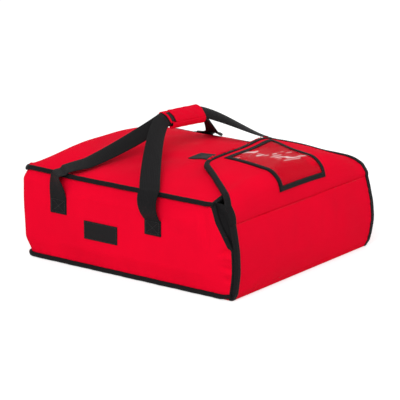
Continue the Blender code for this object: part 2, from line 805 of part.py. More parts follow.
def strap_end_profile(y):
    """The strap's inner face from its tab to the top of the turn: outside distance, height, and normal."""
    flat = (1.0, 0.0)
    tab_top = STRAP_TAB_HEIGHT + STRAP_TAB_TALL
    centre_out, centre_z = strap_turn()
    profile = []
    for z in (STRAP_TAB_HEIGHT, (STRAP_TAB_HEIGHT + tab_top) / 2, tab_top):
        profile.append((side_bulge(y, z) + STRAP_GAP, z, flat))
    profile.append((STRAP_RIDE, PIPING_TOP_LOW - STRAP_GAP, flat))
    for step in range(STRAP_TURN_STEPS + 1):
        angle = math.radians(STRAP_TURN_ANGLE) * step / STRAP_TURN_STEPS
        direction = (math.cos(angle), math.sin(angle))
        out = centre_out + STRAP_TURN_RADIUS * direction[0]
        profile.append((out, centre_z + STRAP_TURN_RADIUS * direction[1], direction))
    return profile


def make_strap_end(name, side, strap_y):
    """Sewn end of a strap: tab on the side panel, up the side and over the piping."""
    grids = []
    for rise in (STRAP_THICK, 0.0):
        columns = []
        for share in STRAP_COLUMN_SHARES:
            y = strap_y + STRAP_WIDTH * share
            column = []
            for out, z, direction in strap_end_profile(y):
                x = HALF_WIDTH + out + rise * direction[0]
                column.append(Vector((side * x, y, z + rise * direction[1])))
            columns.append(column)
        grids.append([list(row) for row in zip(*columns)])
    panel(name, grids[0], grids[1], black_webbing())


def grip_axes():
    """The grip's own directions: along it, across the webbing, and out of its upper face."""
    yaw = math.radians(GRIP_YAW)
    droop = math.radians(GRIP_DROOP)
    tilt = math.radians(GRIP_TILT)
    level = Vector((-math.sin(yaw), math.cos(yaw), 0))
    along = Vector((math.cos(yaw) * math.cos(droop), math.sin(yaw) * math.cos(droop), -math.sin(droop)))
    across = level * math.cos(tilt) + along.cross(level) * math.sin(tilt)
    return along, across, along.cross(across)


def grip_point(a, w, n):
    along, across, out = grip_axes()
    return Vector((0, GRIP_Y, GRIP_HEIGHT)) + along * a + across * w + out * n


def strap_level(strap_y):
    """The front strap lies over the rear strap in the grip."""
    return STRAP_STEP if strap_y < GRIP_Y else -STRAP_STEP


def curve_step(points, share):
    """Point and direction on the smooth curve that a row of points draws."""
    while len(points) > 2:
        points = [a.lerp(b, share) for a, b in zip(points, points[1:])]
    return points[0].lerp(points[1], share), (points[1] - points[0]).normalized()


def make_strap_leg(name, side, strap_y):
    """Free stretch of a strap from the top of the piping to the grip."""
    along, across, _ = grip_axes()
    angle = math.radians(STRAP_TURN_ANGLE)
    centre_out, centre_z = strap_turn()
    middle = STRAP_TURN_RADIUS + STRAP_THICK / 2
    x = HALF_WIDTH + centre_out + middle * math.cos(angle)
    heading = Vector((-side * math.sin(angle), 0, math.cos(angle)))
    start = Vector((side * x, strap_y, centre_z + middle * math.sin(angle))) + heading * 2 * GAP
    reach = GRIP_LENGTH / 2 + GRIP_STRAP_OVERHANG + GAP
    end = grip_point(side * reach, 0, strap_level(strap_y))
    level = Vector((0, 1, 0))
    lean = level * math.copysign(STRAP_LEAN, GRIP_Y - strap_y)
    near_start = start + heading * STRAP_PULL
    near_end = end + along * side * STRAP_GRIP_PULL
    turned = near_start + heading * STRAP_PULL + lean
    dipped = near_end + along * side * STRAP_GRIP_PULL - Vector((0, 0, STRAP_GRIP_DIP))
    path = [start, near_start, turned, dipped, near_end, end]
    rings = []
    for step in range(LEG_STEPS + 1):
        p = step / LEG_STEPS
        centre, tangent = curve_step(path, p)
        width = level.lerp(across, smooth(p))
        width = (width - tangent * width.dot(tangent)).normalized()
        out = tangent.cross(width)
        wide = between(STRAP_WIDTH, STRAP_GRIP_WIDTH, smooth(p))
        section = [centre + width * wide * i + out * STRAP_THICK * j for i, j in STRAP_SECTION_SHARES]
        rings.append(section)
    loft(name, rings, black_webbing())


def make_strap_middle(name, strap_y):
    reach = GRIP_LENGTH / 2 + GRIP_STRAP_OVERHANG
    level = strap_level(strap_y)
    rings = [
        [grip_point(a, STRAP_GRIP_WIDTH * i, level + STRAP_THICK * j) for i, j in STRAP_SECTION_SHARES]
        for a in (-reach, 0, reach)
    ]
    loft(name, rings, black_webbing())


# Grip wrap

def grip_levels():
    """Heights over the middle of the straps: the wrap, loop strip, hook strip and cover, at their middles."""
    wrap = STRAP_STEP + STRAP_THICK / 2 + GAP + GRIP_WRAP_THICK / 2
    loop = wrap + GRIP_WRAP_THICK / 2 + GAP + GRIP_STRIP_THICK / 2
    hook = loop + GRIP_STRIP_THICK + GAP
    cover = hook + GRIP_STRIP_THICK / 2 + GAP + GRIP_WRAP_THICK / 2
    return wrap, loop, hook, cover


def arc(centre, radius, start, end, steps):
    """Points (w, n) on an arc, angles in degrees."""
    points = []
    for step in range(steps + 1):
        angle = math.radians(between(start, end, step / steps))
        points.append((centre[0] + radius * math.cos(angle), centre[1] + radius * math.sin(angle)))
    return points


def thick_line(points, thickness):
    """Closed outline of a line of (w, n) points with the given thickness."""
    sides = ([], [])
    for k, point in enumerate(points):
        before = Vector(points[max(0, k - 1)])
        after = Vector(points[min(len(points) - 1, k + 1)])
        along = (after - before).normalized()
        normal = Vector((-along.y, along.x))
        for line, sign in zip(sides, (0.5, -0.5)):
            line.append(Vector(point) + normal * thickness * sign)
    return sides[0] + list(reversed(sides[1]))


def make_grip_piece(name, points, thickness, start, end, material):
    outline = thick_line(points, thickness)
    rings = [[grip_point(a, w, n) for w, n in outline] for a in (start, end)]
    loft(name, rings, material)


def grip_hinge():
    """Place of the cover's fold line, at the top of the gap beside the wrap's front bend."""
    cover = grip_levels()[3]
    return -STRAP_GRIP_WIDTH / 2 + GAP / 2, cover + GRIP_WRAP_THICK / 2


def make_grip():
    wrap, loop, hook, cover = grip_levels()
    edge = STRAP_GRIP_WIDTH / 2
    end = GRIP_LENGTH / 2
    cover_start = GRIP_COVER_SETBACK - end
    line = [(-edge + GRIP_LEAF_MARGIN, wrap), (0, wrap)]
    line += arc((edge, 0), wrap, 90, -90, GRIP_BEND_STEPS)
    line.append((0, -wrap))
    line += arc((-edge, (cover - wrap) / 2), (cover + wrap) / 2, 270, 90, GRIP_BEND_STEPS)
    make_grip_piece("grip_wrap", line, GRIP_WRAP_THICK, -end, end, red_nylon())
    line = [(-edge + GAP, cover), (0, cover), (edge, cover)]
    make_grip_piece("grip_cover", line, GRIP_WRAP_THICK, cover_start, end, red_nylon())
    strip = edge - GRIP_STRIP_MARGIN
    strip_end = end - GRIP_STRIP_MARGIN
    for name, level, start in (("grip_loop_strip", loop, -end), ("grip_hook_strip", hook, cover_start)):
        line = [(-strip, level), (0, level), (strip, level)]
        make_grip_piece(name, line, GRIP_STRIP_THICK, start + GRIP_STRIP_MARGIN, strip_end, hook_and_loop())


# Joints

def set_origin(prefixes, place):
    """Put the origin of a moving body's pieces on its joint's axis."""
    for obj in bpy.data.objects:
        if obj.name.startswith(prefixes):
            obj.data.transform(Matrix.Translation(-place))
            obj.location = place


def set_origins():
    set_origin(("front_panel", "flap_binding"), Vector((0, FRONT_Y, FLAP_HINGE_HEIGHT)))
    crease = Vector((0, CREASE_Y - BINDING_REACH - LAP_HINGE_CLEARANCE, CREASE_HEIGHT))
    set_origin(("lap_", "hook_strip", "pocket"), crease)
    set_origin(("strap_middle", "strap_leg", "grip_wrap", "grip_loop_strip"), grip_point(0, 0, 0))
    set_origin(("grip_cover", "grip_hook_strip"), grip_point(0, *grip_hinge()))


def clear_scene():
    for obj in list(bpy.data.objects):
        bpy.data.objects.remove(obj, do_unlink=True)


def build():
    clear_scene()
    make_bottom_panel()
    make_side_panel("left_panel", -1)
    make_side_panel("right_panel", 1)
    make_back_panel()
    make_top_panel()
    make_piping("top_piping", MOUTH_TOP_Y, PIPING_TOP_LOW, False)
    make_piping("bottom_piping", MOUTH_LOW_Y, PIPING_FLOOR_GAP, True)
    make_mouth_top_binding()
    for word, side in (("left", -1), ("right", 1)):
        make_mouth_side_binding("mouth_binding_" + word, side)
        make_gusset("gusset_" + word, side)
        make_flap_binding("flap_binding_" + word, side)
        make_hook_strip("hook_strip_" + word, side * STRIP_OFFSET)
        for strap, strap_y in (("front", FRONT_STRAP_Y), ("rear", REAR_STRAP_Y)):
            make_strap_end("strap_end_" + strap + "_" + word, side, strap_y)
            make_strap_leg("strap_leg_" + strap + "_" + word, side, strap_y)
    make_loop_strip("loop_strip_left", -STRIP_OFFSET, LAP_END_Y + NEAR_LOOP_SHOWING, NEAR_LOOP_LENGTH)
    make_loop_strip("loop_strip_right", STRIP_OFFSET, LAP_END_Y - FAR_LOOP_HIDDEN, FAR_LOOP_LENGTH)
    make_label()
    make_front_panel()
    make_lap()
    make_lap_binding()
    make_pocket()
    make_strap_middle("strap_middle_front", FRONT_STRAP_Y)
    make_strap_middle("strap_middle_rear", REAR_STRAP_Y)
    make_grip()
    set_origins()


build()
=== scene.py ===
"""Looks of a padded pizza delivery bag: padded cloth panels, tape, piping, webbing and grip over the CAD frame.

Metres, in the frame of the CAD: +Z up, the flap faces -Y and the label is on the -X side.
"""

import json
import math

import bpy
import numpy as np
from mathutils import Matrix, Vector


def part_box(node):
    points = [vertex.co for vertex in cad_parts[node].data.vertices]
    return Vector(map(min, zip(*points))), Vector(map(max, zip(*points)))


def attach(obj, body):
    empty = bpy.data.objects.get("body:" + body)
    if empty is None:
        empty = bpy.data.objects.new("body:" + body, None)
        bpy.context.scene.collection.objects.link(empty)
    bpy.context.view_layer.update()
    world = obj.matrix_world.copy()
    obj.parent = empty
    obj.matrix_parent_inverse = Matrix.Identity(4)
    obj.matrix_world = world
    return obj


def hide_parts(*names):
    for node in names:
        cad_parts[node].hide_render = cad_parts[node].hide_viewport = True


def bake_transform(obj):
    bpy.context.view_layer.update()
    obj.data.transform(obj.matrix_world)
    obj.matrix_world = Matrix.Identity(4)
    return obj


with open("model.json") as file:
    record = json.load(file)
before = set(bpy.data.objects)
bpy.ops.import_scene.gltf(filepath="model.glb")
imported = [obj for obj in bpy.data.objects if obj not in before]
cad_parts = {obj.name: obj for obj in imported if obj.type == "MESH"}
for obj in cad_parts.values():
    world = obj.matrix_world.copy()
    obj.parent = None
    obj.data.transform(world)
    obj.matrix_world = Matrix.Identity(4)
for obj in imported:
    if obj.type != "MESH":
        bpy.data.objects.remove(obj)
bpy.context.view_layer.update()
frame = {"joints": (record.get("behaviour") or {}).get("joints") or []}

# Sizes that the CAD nodes give
BOTTOM_LOW, BOTTOM_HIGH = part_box("bottom_panel_shell")
HALF_WIDTH = BOTTOM_HIGH[0]
FRONT_Y = BOTTOM_LOW[1]
BACK_Y = BOTTOM_HIGH[1]
FLAP_LOW, FLAP_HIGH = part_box("front_panel_shell")
FLAP_HALF = FLAP_HIGH[0]
FLAP_BOTTOM = FLAP_LOW[2]
MOUTH_TOP_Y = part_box("top_piping")[0][1]
PIPING_TOP_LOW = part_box("top_piping")[0][2]
PIPING_BOTTOM_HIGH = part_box("bottom_piping")[1][2]
CREASE_Z = [joint for joint in frame["joints"] if joint["name"] == "lap_fold"][0]["pos_m"][2]

QUARTER = math.radians(90)
UP = np.array((0.0, 0.0, 1.0))
FORWARD = np.array((0.0, -1.0, 0.0))

# Sizes of the padded panels
SIDE_HEIGHT = 0.165
CORNER_RADIUS = 0.018
PAD = 0.0048
LINING = 0.0007
WALL = 0.0058
SEAM = 0.0053
TOP_CROWN = 0.031
TOP_BACK_RUN = 0.045
TOP_FRONT_DROP = 0.006
TOP_FRONT_RUN = 0.093
SIDE_BULGE = 0.005
BACK_BULGE = 0.011
FRONT_BULGE = 0.0015
CROWN_POWER = 2.8
FADE_SHARE = 0.22
KNEE_Z = 0.092
MOUTH_EDGE_Y = MOUTH_TOP_Y - 0.004
CORNER_Y = BACK_Y - CORNER_RADIUS
FLOOR_THICK = 0.0009
FLOOR_FOAM = 0.0028
FLOOR_INSET = 0.0012
FLOOR_LIFT = 0.0002
FLOOR_BACK = 0.0035  # how far behind the flap the bottom cloth starts
INSIDE_BACK = WALL + 0.0045  # how far behind the flap's face the bottom foam and liner start

# Sizes of the flap and the lap
FLAP_BOW = 0.0095
FLAP_BOW_SHARE = 0.65
CREASE_OUT = 0.008
CREASE_Y = FRONT_Y - CREASE_OUT
LAP_TURN_RUN = 0.0355
LAP_END_Y = FRONT_Y + 0.1375
LAP_END_HALF = 0.107
LAP_TAPER_Y = FRONT_Y + 0.008
LAP_CORNER_RADIUS = 0.038
LAP_TURN_SHARE = 0.4
LAP_LIFT = WALL + 0.0039
LAP_TURN_Y = FRONT_Y + LAP_TURN_RUN
LAP_PAST_END = 1.1  # t up to which the lap's face runs on, for what lies at its edge
TAPE_REACH = 0.0015
TAPE_LEG = 0.0080
TUCKED_LEG = 0.0022
TAPE_SLOT = 0.0002
SEAM_INSET = 0.0016
THREAD_LIFT = 0.0001
BEHIND_FLAP = WALL + TAPE_REACH + 0.0012  # from the flap's face to what stands behind its tape
HINGE_RADIUS = 0.0030
POCKET_HALF = 0.070
POCKET_BAR = 0.010
POCKET_BACK = 0.018
POCKET_FIRST = 26 / 90  # share of the lap's bend at which the pocket starts
STRIP_HALF = 0.019
STRIP_X = 0.057
PILE = 0.0012

# Sizes of the handles; left is -1 and right is 1
STRAP_WIDTH = 0.036
STRAP_GRIP_WIDTH = 0.029
STRAP_THICK = 0.0016
STRAP_YS = {"front": -0.064, "rear": 0.149}
STRAP_STACK = {"front": 0.00095, "rear": -0.00095}
# Each strap: place over the piping as (out, back, up), tilt of its width there, rise as it leaves, where its turning
# to the grip starts and ends, how far it stands off above its tab, its bow to the side, its reach and drop by the grip
STRAP_TURNS = {
    ("front", -1): ((0.0110, 0.0030, 0.1725), 0.0, 0.50, -0.05, 0.85, 0.0170, (-0.004, 0.001), (0.018, 0.014)),
    ("rear", -1): ((0.0085, -0.0010, 0.1670), 5.0, 0.18, -0.05, 1.0, 0.0020, (0.0, 0.0), (0.018, 0.014)),
    ("front", 1): ((0.0060, 0.0, 0.1725), 0.0, 0.34, 0.10, 1.0, 0.0080, (0.0, 0.0), (0.018, 0.004)),
    ("rear", 1): ((0.0060, 0.0, 0.1695), 0.0, 0.06, 0.10, 1.05, 0.0040, (0.0, -0.020), (0.048, 0.044)),
}
STRAP_STEP = 0.030
STRAP_TURNED = 0.9  # share of its turn that the width has made over the piping
STRAP_CLEAR = 0.0030
STRAP_SIDEWAYS = 0.0012  # how far the webbing cups on its way to the grip
PAST_GRIP = 0.0043
CORE_PAST_GRIP = 0.0040
TAB_LOWS = {"front": 0.090, "rear": 0.093}
TAB_TALL = 0.027
TAB_OUT = HALF_WIDTH + 0.0016
TAB_SEAM = ((-1, 0), (1, 0), (1, 1), (-1, 1), (-1, 0), (1, 1), (1, 0), (-1, 1))
GRIP_PLACE = np.array((0.0, 0.036, 0.2463))
GRIP_HALF = 0.056
GRIP_YAW = math.radians(5.7)
GRIP_DROOP = math.radians(5.2)
GRIP_TILT = math.radians(42)
GRIP_CUP = 0.0030
GRIP_CLOTH = 0.0016
GRIP_PILE = 0.0009
GRIP_FLARE = 0.0008
GRIP_LAYERS = {"wrap": 0.00285, "loop": 0.0044, "hook": 0.0056, "cover": 0.00715}
COVER_START = 0.013 - GRIP_HALF


# Shapes shared by the pieces

def smooth(value):
    value = np.clip(value, 0.0, 1.0)
    return value * value * (3 - 2 * value)


def rise(value, start, full):
    """Smooth step from 0 at start to 1 at full, which may be the smaller of the two."""
    return smooth((value - start) / (full - start))


def swell(share):
    return smooth(share / FADE_SHARE) * smooth((1 - share) / FADE_SHARE)


def between(low, high, share):
    return low + (high - low) * share


def unit(vectors):
    return vectors / np.maximum(np.linalg.norm(vectors, axis=-1, keepdims=True), 1e-12)


def square_to(vectors, directions):
    """Unit vectors in the plane square to the directions."""
    return unit(vectors - directions * (vectors * directions).sum(axis=-1, keepdims=True))


def xyz(x, y, z):
    """Points from their coordinates, which may be single numbers."""
    return np.stack(np.broadcast_arrays(x, y, z), axis=-1)


def top_height(x, y):
    """Height of the crowned top panel."""
    back = np.clip((BACK_Y - y) / TOP_BACK_RUN, 0.0, 1.0)
    back = 1 - (1 - back) ** 2
    front = np.maximum(0.0, (LAP_END_Y - y) / TOP_FRONT_RUN)
    side = 1 - np.minimum(1.0, np.abs(x) / HALF_WIDTH) ** CROWN_POWER
    return SIDE_HEIGHT + (TOP_CROWN * back - TOP_FRONT_DROP * front ** 2) * side


def flap_bow(z):
    """How far the flap bows forward at a height."""
    share = np.clip((z - FLAP_BOTTOM) / (CREASE_Z - FLAP_BOTTOM), 0.0, 1.0)
    low = FLAP_BOW * (1 - (1 - share / FLAP_BOW_SHARE) ** 2)
    past = (share - FLAP_BOW_SHARE) / (1 - FLAP_BOW_SHARE)
    high = FLAP_BOW - (FLAP_BOW - CREASE_OUT) * past ** 2
    return np.where(share < FLAP_BOW_SHARE, low, high)


def wall_front_y(z):
    """Front edge of a side panel: along the flap's tape below the knee, slanting back above it."""
    meet = FRONT_Y - flap_bow(np.minimum(z, KNEE_Z)) + BEHIND_FLAP
    share = np.clip((z - KNEE_Z) / (SIDE_HEIGHT - KNEE_Z), 0.0, 1.0)
    return between(meet, MOUTH_EDGE_Y, share)


def wall_swell(z):
    return swell((z - PIPING_BOTTOM_HIGH) / (PIPING_TOP_LOW - PIPING_BOTTOM_HIGH))


def side_bulge(y, z):
    front = wall_front_y(z)
    return SIDE_BULGE * swell((y - front) / (CORNER_Y - front)) * wall_swell(z)


def corner_point(side, angle, reach):
    """Point round a rear corner, reach outside the wall; angle 0 is the side and a right angle the back."""
    radius = CORNER_RADIUS + reach
    x = side * (HALF_WIDTH - CORNER_RADIUS + radius * np.cos(angle))
    return x, CORNER_Y + radius * np.sin(angle)


def lap_point(x, t):
    """Points on the lap's outer face: t is 0 at the crease and 1 at the free edge."""
    x, t = np.broadcast_arrays(x, t)
    angle = QUARTER * np.clip(t / LAP_TURN_SHARE, 0.0, 1.0)
    climb = top_height(x, LAP_TURN_Y) + LAP_LIFT - CREASE_Z
    flat = np.clip((t - LAP_TURN_SHARE) / (1 - LAP_TURN_SHARE), 0.0, LAP_PAST_END)
    flat_y = between(LAP_TURN_Y, LAP_END_Y, flat)
    turning = t < LAP_TURN_SHARE
    y = np.where(turning, between(LAP_TURN_Y, CREASE_Y, np.cos(angle)), flat_y)
    z = np.where(turning, CREASE_Z + climb * np.sin(angle), top_height(x, flat_y) + LAP_LIFT)
    return xyz(x, y, z)


def lap_normal(x, t):
    step = 0.0004
    along = lap_point(x, t + step) - lap_point(x, t - step * (t > step))
    across = lap_point(x + step, t) - lap_point(x - step, t)
    return unit(np.cross(across, along))


def lap_share(y):
    return between(LAP_TURN_SHARE, 1, (y - LAP_TURN_Y) / (LAP_END_Y - LAP_TURN_Y))


def lap_half(y):
    taper = (FLAP_HALF - LAP_END_HALF) / (LAP_END_Y - LAP_TAPER_Y)
    return FLAP_HALF - np.maximum(0.0, y - LAP_TAPER_Y) * taper


def lap_outline():
    """The lap's right edge from the crease to the end of its corner: half widths and shares t."""
    slope = math.atan((FLAP_HALF - LAP_END_HALF) / (LAP_END_Y - LAP_TAPER_Y))
    centre_y = LAP_END_Y - LAP_CORNER_RADIUS
    line = FLAP_HALF * math.cos(slope) + LAP_TAPER_Y * math.sin(slope)
    centre_x = (line - LAP_CORNER_RADIUS - centre_y * math.sin(slope)) / math.cos(slope)
    angles = np.linspace(QUARTER - slope, 0.0, 20)
    corner_y = centre_y + LAP_CORNER_RADIUS * np.cos(angles)
    corner_x = centre_x + LAP_CORNER_RADIUS * np.sin(angles)
    turn_t = np.linspace(0.0, LAP_TURN_SHARE, 30)
    turn_x = lap_half(lap_point(0.0, turn_t)[:, 1])
    straight_y = np.linspace(LAP_TURN_Y, corner_y[0], 14)[1:-1]
    halves = np.concatenate((turn_x, lap_half(straight_y), corner_x))
    shares = np.concatenate((turn_t, lap_share(straight_y), lap_share(corner_y)))
    return halves, shares


# Soft shapes added to the panels

SAG = 0.0110
SAG_BASE = (0.050, 0.130)  # heights at which the sag starts, at the back and at the front
FAR_DROP = 0.0075
CORNER_PUSH = 0.0020
CORNER_LIFT = 0.0040
BELLY = 0.0072
# How far the flap and what meets it lean back at each height, and how far its far edge bellies out
LEAN_HEIGHTS = (0.0, 0.012, 0.050, 0.090, 0.134, 0.160, 0.180)
LEAN_BACK = (0.0, -0.0042, -0.0036, 0.0, 0.0065, 0.0040, 0.0)
FAR_HEIGHTS = (0.0, 0.025, 0.060, 0.090, 0.134)
FAR_PUSH = (-0.0020, 0.0040, 0.0065, 0.0040, -0.0010)


def settle(points):
    """The empty bag slumps a little to its far side and bellies out at its corners; all pieces follow."""
    x, y, z = points[..., 0], points[..., 1], points[..., 2]
    base = between(*SAG_BASE, rise(y, -0.12, -0.20))
    height = rise(z, base, 0.160) * rise(z, 0.243, 0.193)
    far = rise(x, -0.02, 0.21) * between(0.4, 1.0, rise(y, -0.09, -0.01))
    far_front = rise(x, 0.10, 0.20) * rise(y, -0.115, -0.170) * rise(z, 0.134, 0.169)
    near_back = rise(x, -0.08, -0.21) * rise(y, 0.10, 0.22) * rise(z, 0.08, 0.16)
    fronting = rise(y, -0.165, -0.205)
    far_edge = rise(x, 0.13, 0.21) * fronting
    corner = rise(np.abs(x), 0.14, 0.205) * rise(y, 0.155, 0.220)
    spread = CORNER_PUSH * rise(z, 0.0, 0.12) + BELLY * rise(z, 0.006, 0.041) * rise(z, 0.163, 0.139)
    moved = points.copy()
    moved[..., 0] += np.sign(x) * spread * corner + np.interp(z, FAR_HEIGHTS, FAR_PUSH) * far_edge
    moved[..., 1] += spread * corner + np.interp(z, LEAN_HEIGHTS, LEAN_BACK) * fronting
    moved[..., 2] += CORNER_LIFT * near_back - SAG * height * far - FAR_DROP * far_front
    return moved


def fold(p, q, start, end, width, height):
    """A soft crease or ridge from start to end, in the plane of the panel."""
    ax, ay = start
    dx, dy = end[0] - ax, end[1] - ay
    length = math.hypot(dx, dy)
    along = ((p - ax) * dx + (q - ay) * dy) / length
    off = ((p - ax) * dy - (q - ay) * dx) / length
    share = np.clip(along / length, 0.0, 1.0)
    beyond = np.maximum(0.0, np.maximum(-along, along - length))
    body = np.sin(np.pi * between(0.12, 0.88, share))
    return height * body * np.exp(-(off / width) ** 2 - (beyond / (2 * width)) ** 2)


def folds(p, q, rows):
    """All folds of a table together: start and end in the plane of the panel, width and height."""
    return sum(fold(p, q, *row) for row in rows)


RIPPLE_WAVES = ((31, 17, 0.3, 1.0), (-23, 41, 1.7, 0.8), (57, 9, 4.1, 0.5), (13, -63, 2.2, 0.5), (71, 67, 5.0, 0.3))
PUCKER_WAVES = ((520, 0.4, 1.0), (790, 2.1, 0.7), (310, 4.4, 0.8))


def ripple(p, q, size, phase=0.0):
    """Gentle unevenness of padded cloth."""
    total = sum(weight * np.sin(a * p + b * q + shift + phase) for a, b, shift, weight in RIPPLE_WAVES)
    return size * total / sum(weight for _, _, _, weight in RIPPLE_WAVES)


def pucker(along, distance, size=0.0005, reach=0.007):
    """Small gathers that a seam draws into the cloth beside it."""
    total = sum(weight * np.sin(rate * along + shift) for rate, shift, weight in PUCKER_WAVES)
    return size * total * np.exp(-(distance / reach) ** 2)


# Building meshes

def face_normals(points):
    """Normals of a grid of points, to the right of its rows when seen along its columns."""
    return unit(np.cross(np.gradient(points, axis=1), np.gradient(points, axis=0)))


def lengths(points, axis):
    """Distance along a grid of points from its start, along its rows or its columns."""
    steps = np.linalg.norm(np.diff(points, axis=axis), axis=-1)
    pad = [(0, 0), (0, 0)]
    pad[axis] = (1, 0)
    return np.cumsum(np.pad(steps, pad), axis=axis)


def volume(points, faces):
    total = 0.0
    for face in faces:
        a = points[face[0]]
        for b, c in zip(face[1:], face[2:]):
            total += np.dot(a, np.cross(points[b], points[c]))
    return total


def mesh_object(name, points, faces, uvs, look):
    """Mesh of points and faces; uvs has one row for each corner of each face, in metres."""
    mesh = bpy.data.meshes.new(name)
    mesh.from_pydata(settle(points.reshape(-1, 3)).tolist(), [], faces)
    layer = mesh.uv_layers.new(name="cloth")
    layer.data.foreach_set("uv", np.asarray(uvs, dtype=np.float32).ravel())
    mesh.materials.append(LOOKS[look])
    mesh.shade_smooth()
    obj = bpy.data.objects.new(name, mesh)
    bpy.context.scene.collection.objects.link(obj)
    return obj


def grid_faces(rows, columns):
    index = np.arange(rows * columns).reshape(rows, columns)
    corners = (index[:-1, :-1], index[:-1, 1:], index[1:, 1:], index[1:, :-1])
    return np.stack(corners, axis=-1).reshape(-1, 4)


def skin(name, points, look, thickness=PAD, flip=False):
    """Panel over a grid of points, thickened away from its outer face."""
    rows, columns = points.shape[:2]
    uvs = np.stack((lengths(points, 1), lengths(points, 0)), axis=-1).reshape(-1, 2)
    faces = grid_faces(rows, columns)
    if flip:
        faces = faces[:, ::-1]
    obj = mesh_object(name, points, faces.tolist(), uvs[faces.ravel()], look)
    solid = obj.modifiers.new("thickness", "SOLIDIFY")
    solid.thickness = thickness
    solid.offset = -1.0
    return obj


def loft(name, rings, look, looped=False):
    """Closed body through rings of points; a looped one closes on itself and has no ends."""
    rings = np.asarray(rings, dtype=float)
    if looped:
        rings = np.concatenate((rings, rings[:1]))
    count, around = rings.shape[:2]
    seam = np.concatenate((rings, rings[:, :1]), axis=1)
    rows = lengths(seam, 0)[:, :1].repeat(around + 1, axis=1)
    uvs = np.stack((lengths(seam, 1), rows), axis=-1).reshape(-1, 2)
    corners = grid_faces(count, around + 1)
    solid_count = count - 1 if looped else count
    row, column = corners // (around + 1), corners % (around + 1)
    faces = ((row % solid_count) * around + column % around).tolist()
    corner_uvs = uvs[corners.ravel()].tolist()
    if not looped:
        first = list(range(around))
        last_uvs = uvs[[(count - 1) * (around + 1) + k for k in first]]
        faces += [first[::-1], [(count - 1) * around + k for k in first]]
        corner_uvs += uvs[first[::-1]].tolist() + last_uvs.tolist()
    points = rings[:solid_count].reshape(-1, 3)
    if volume(points, faces) < 0:
        ends = np.cumsum([len(face) for face in faces])
        corner_uvs = [uv for end, face in zip(ends, faces) for uv in reversed(corner_uvs[end - len(face):end])]
        faces = [face[::-1] for face in faces]
    return mesh_object(name, points, faces, corner_uvs, look)


def tape(name, rings, node_name, body=None, looped=False):
    return dress(loft(name, rings, "tape", looped), [node_name], body)


def edge_tape(name, node_name, edges, inner, normals, waves, body=None):
    """Tape folded over a panel's edge, whose waves are (height, rate); edges and inner are on the outer face."""
    normals = np.broadcast_to(normals, edges.shape)
    outward = square_to(edges - inner, normals)
    place = np.arange(len(edges))[:, None]
    wobble = sum(height * np.sin(rate * place) for height, rate in waves)
    middle = edges - normals * WALL / 2
    near = between(edges, inner, 0.3)
    face = normals * TAPE_REACH
    rings = [inner + face * 0.55, between(inner, edges, 0.15) + face, near + face]
    for turn in np.linspace(QUARTER, -QUARTER, 9):
        out = 0.0004 + (TAPE_REACH + wobble) * math.cos(turn)
        up = (WALL / 2 + TAPE_REACH) * math.sin(turn) * (0.88 + 0.12 * math.cos(turn))
        rings.append(middle + outward * out + normals * up)
    rings += [near - normals * (WALL + TAPE_REACH), inner - normals * (WALL + TAPE_REACH * 0.6)]
    low, high, out = normals * (WALL + TAPE_SLOT), normals * TAPE_SLOT, outward * TAPE_SLOT
    rings += [inner - low, edges - low + out, edges + high + out, inner + high]
    return tape(name, np.stack(rings, axis=1), node_name, body)


# Section of webbing: places across it and half its thickness there
BAND_SHARES = np.array((-0.5, -0.47, -0.38, -0.2, 0.0, 0.2, 0.38, 0.47, 0.5))
BAND_THICKS = np.array((0.35, 0.8, 1.0, 1.0, 1.0, 1.0, 1.0, 0.8, 0.35)) / 2 * STRAP_THICK


def webbing(name, centres, tangents, widths, spans, cups):
    """Webbing along a line of centres; each cup is how far its middle stands over its edges there."""
    widths = square_to(widths, tangents)
    out = unit(np.cross(tangents, widths))[:, None]
    flat = centres[:, None] + widths[:, None] * (spans[:, None] * BAND_SHARES)[..., None]
    curve = cups[:, None] * (1 - (2 * BAND_SHARES) ** 2)
    top = flat + out * (curve + BAND_THICKS)[..., None]
    low = flat + out * (curve - BAND_THICKS)[..., None]
    return loft(name, np.concatenate((top, low[:, ::-1]), axis=1), "webbing")


# Thread: each of a stitch's rings has its share of the length, its size and its lift in radii
STITCH_PITCH = 0.0036
STITCH_LONG = 0.0026
STITCH_RADIUS = 0.0003
STITCH_ENDS = ((-0.5, 0.25, -0.3), (-0.3, 1.0, 0.75), (0.3, 1.0, 0.75), (0.5, 0.25, -0.3))
STITCH_SIDES = 6


def stitches(name, rows, look):
    """Sewn thread: short stitches along rows of (points, normals), each with four rings of points."""
    points = []
    turns = np.linspace(0, 2 * math.pi, STITCH_SIDES, endpoint=False)[:, None]
    for line, normals in rows:
        line = np.asarray(line, float)
        normals = np.broadcast_to(np.asarray(normals, float), line.shape)
        along = lengths(line[None], 1)[0]
        for place in np.arange(STITCH_PITCH, along[-1] - STITCH_PITCH / 2, STITCH_PITCH):
            here, ahead, up = [
                np.array([np.interp(spot, along, column) for column in values.T])
                for spot, values in ((place, line), (place + 0.0005, line), (place, normals))
            ]
            up, heading = unit(up), unit(ahead - here)
            out = np.cross(heading, up) * np.cos(turns) + up * np.sin(turns)
            for share, size, lift in STITCH_ENDS:
                points.extend(here + heading * STITCH_LONG * share + (out * size + up * lift) * STITCH_RADIUS)
    last = (len(STITCH_ENDS) - 1) * STITCH_SIDES
    ring = range(STITCH_SIDES)
    starts = range(0, last, STITCH_SIDES)
    corners = [(start + k, start + (k + 1) % STITCH_SIDES) for start in starts for k in ring]
    single = [(a, b, b + STITCH_SIDES, a + STITCH_SIDES) for a, b in corners]
    single += [tuple(reversed(ring)), tuple(last + k for k in ring)]
    faces = [[base + k for k in face] for base in range(0, len(points), last + STITCH_SIDES) for face in single]
    corner_count = sum(len(face) for face in faces)
    return mesh_object(name, np.array(points), faces, np.zeros((corner_count, 2)), look)


# Materials

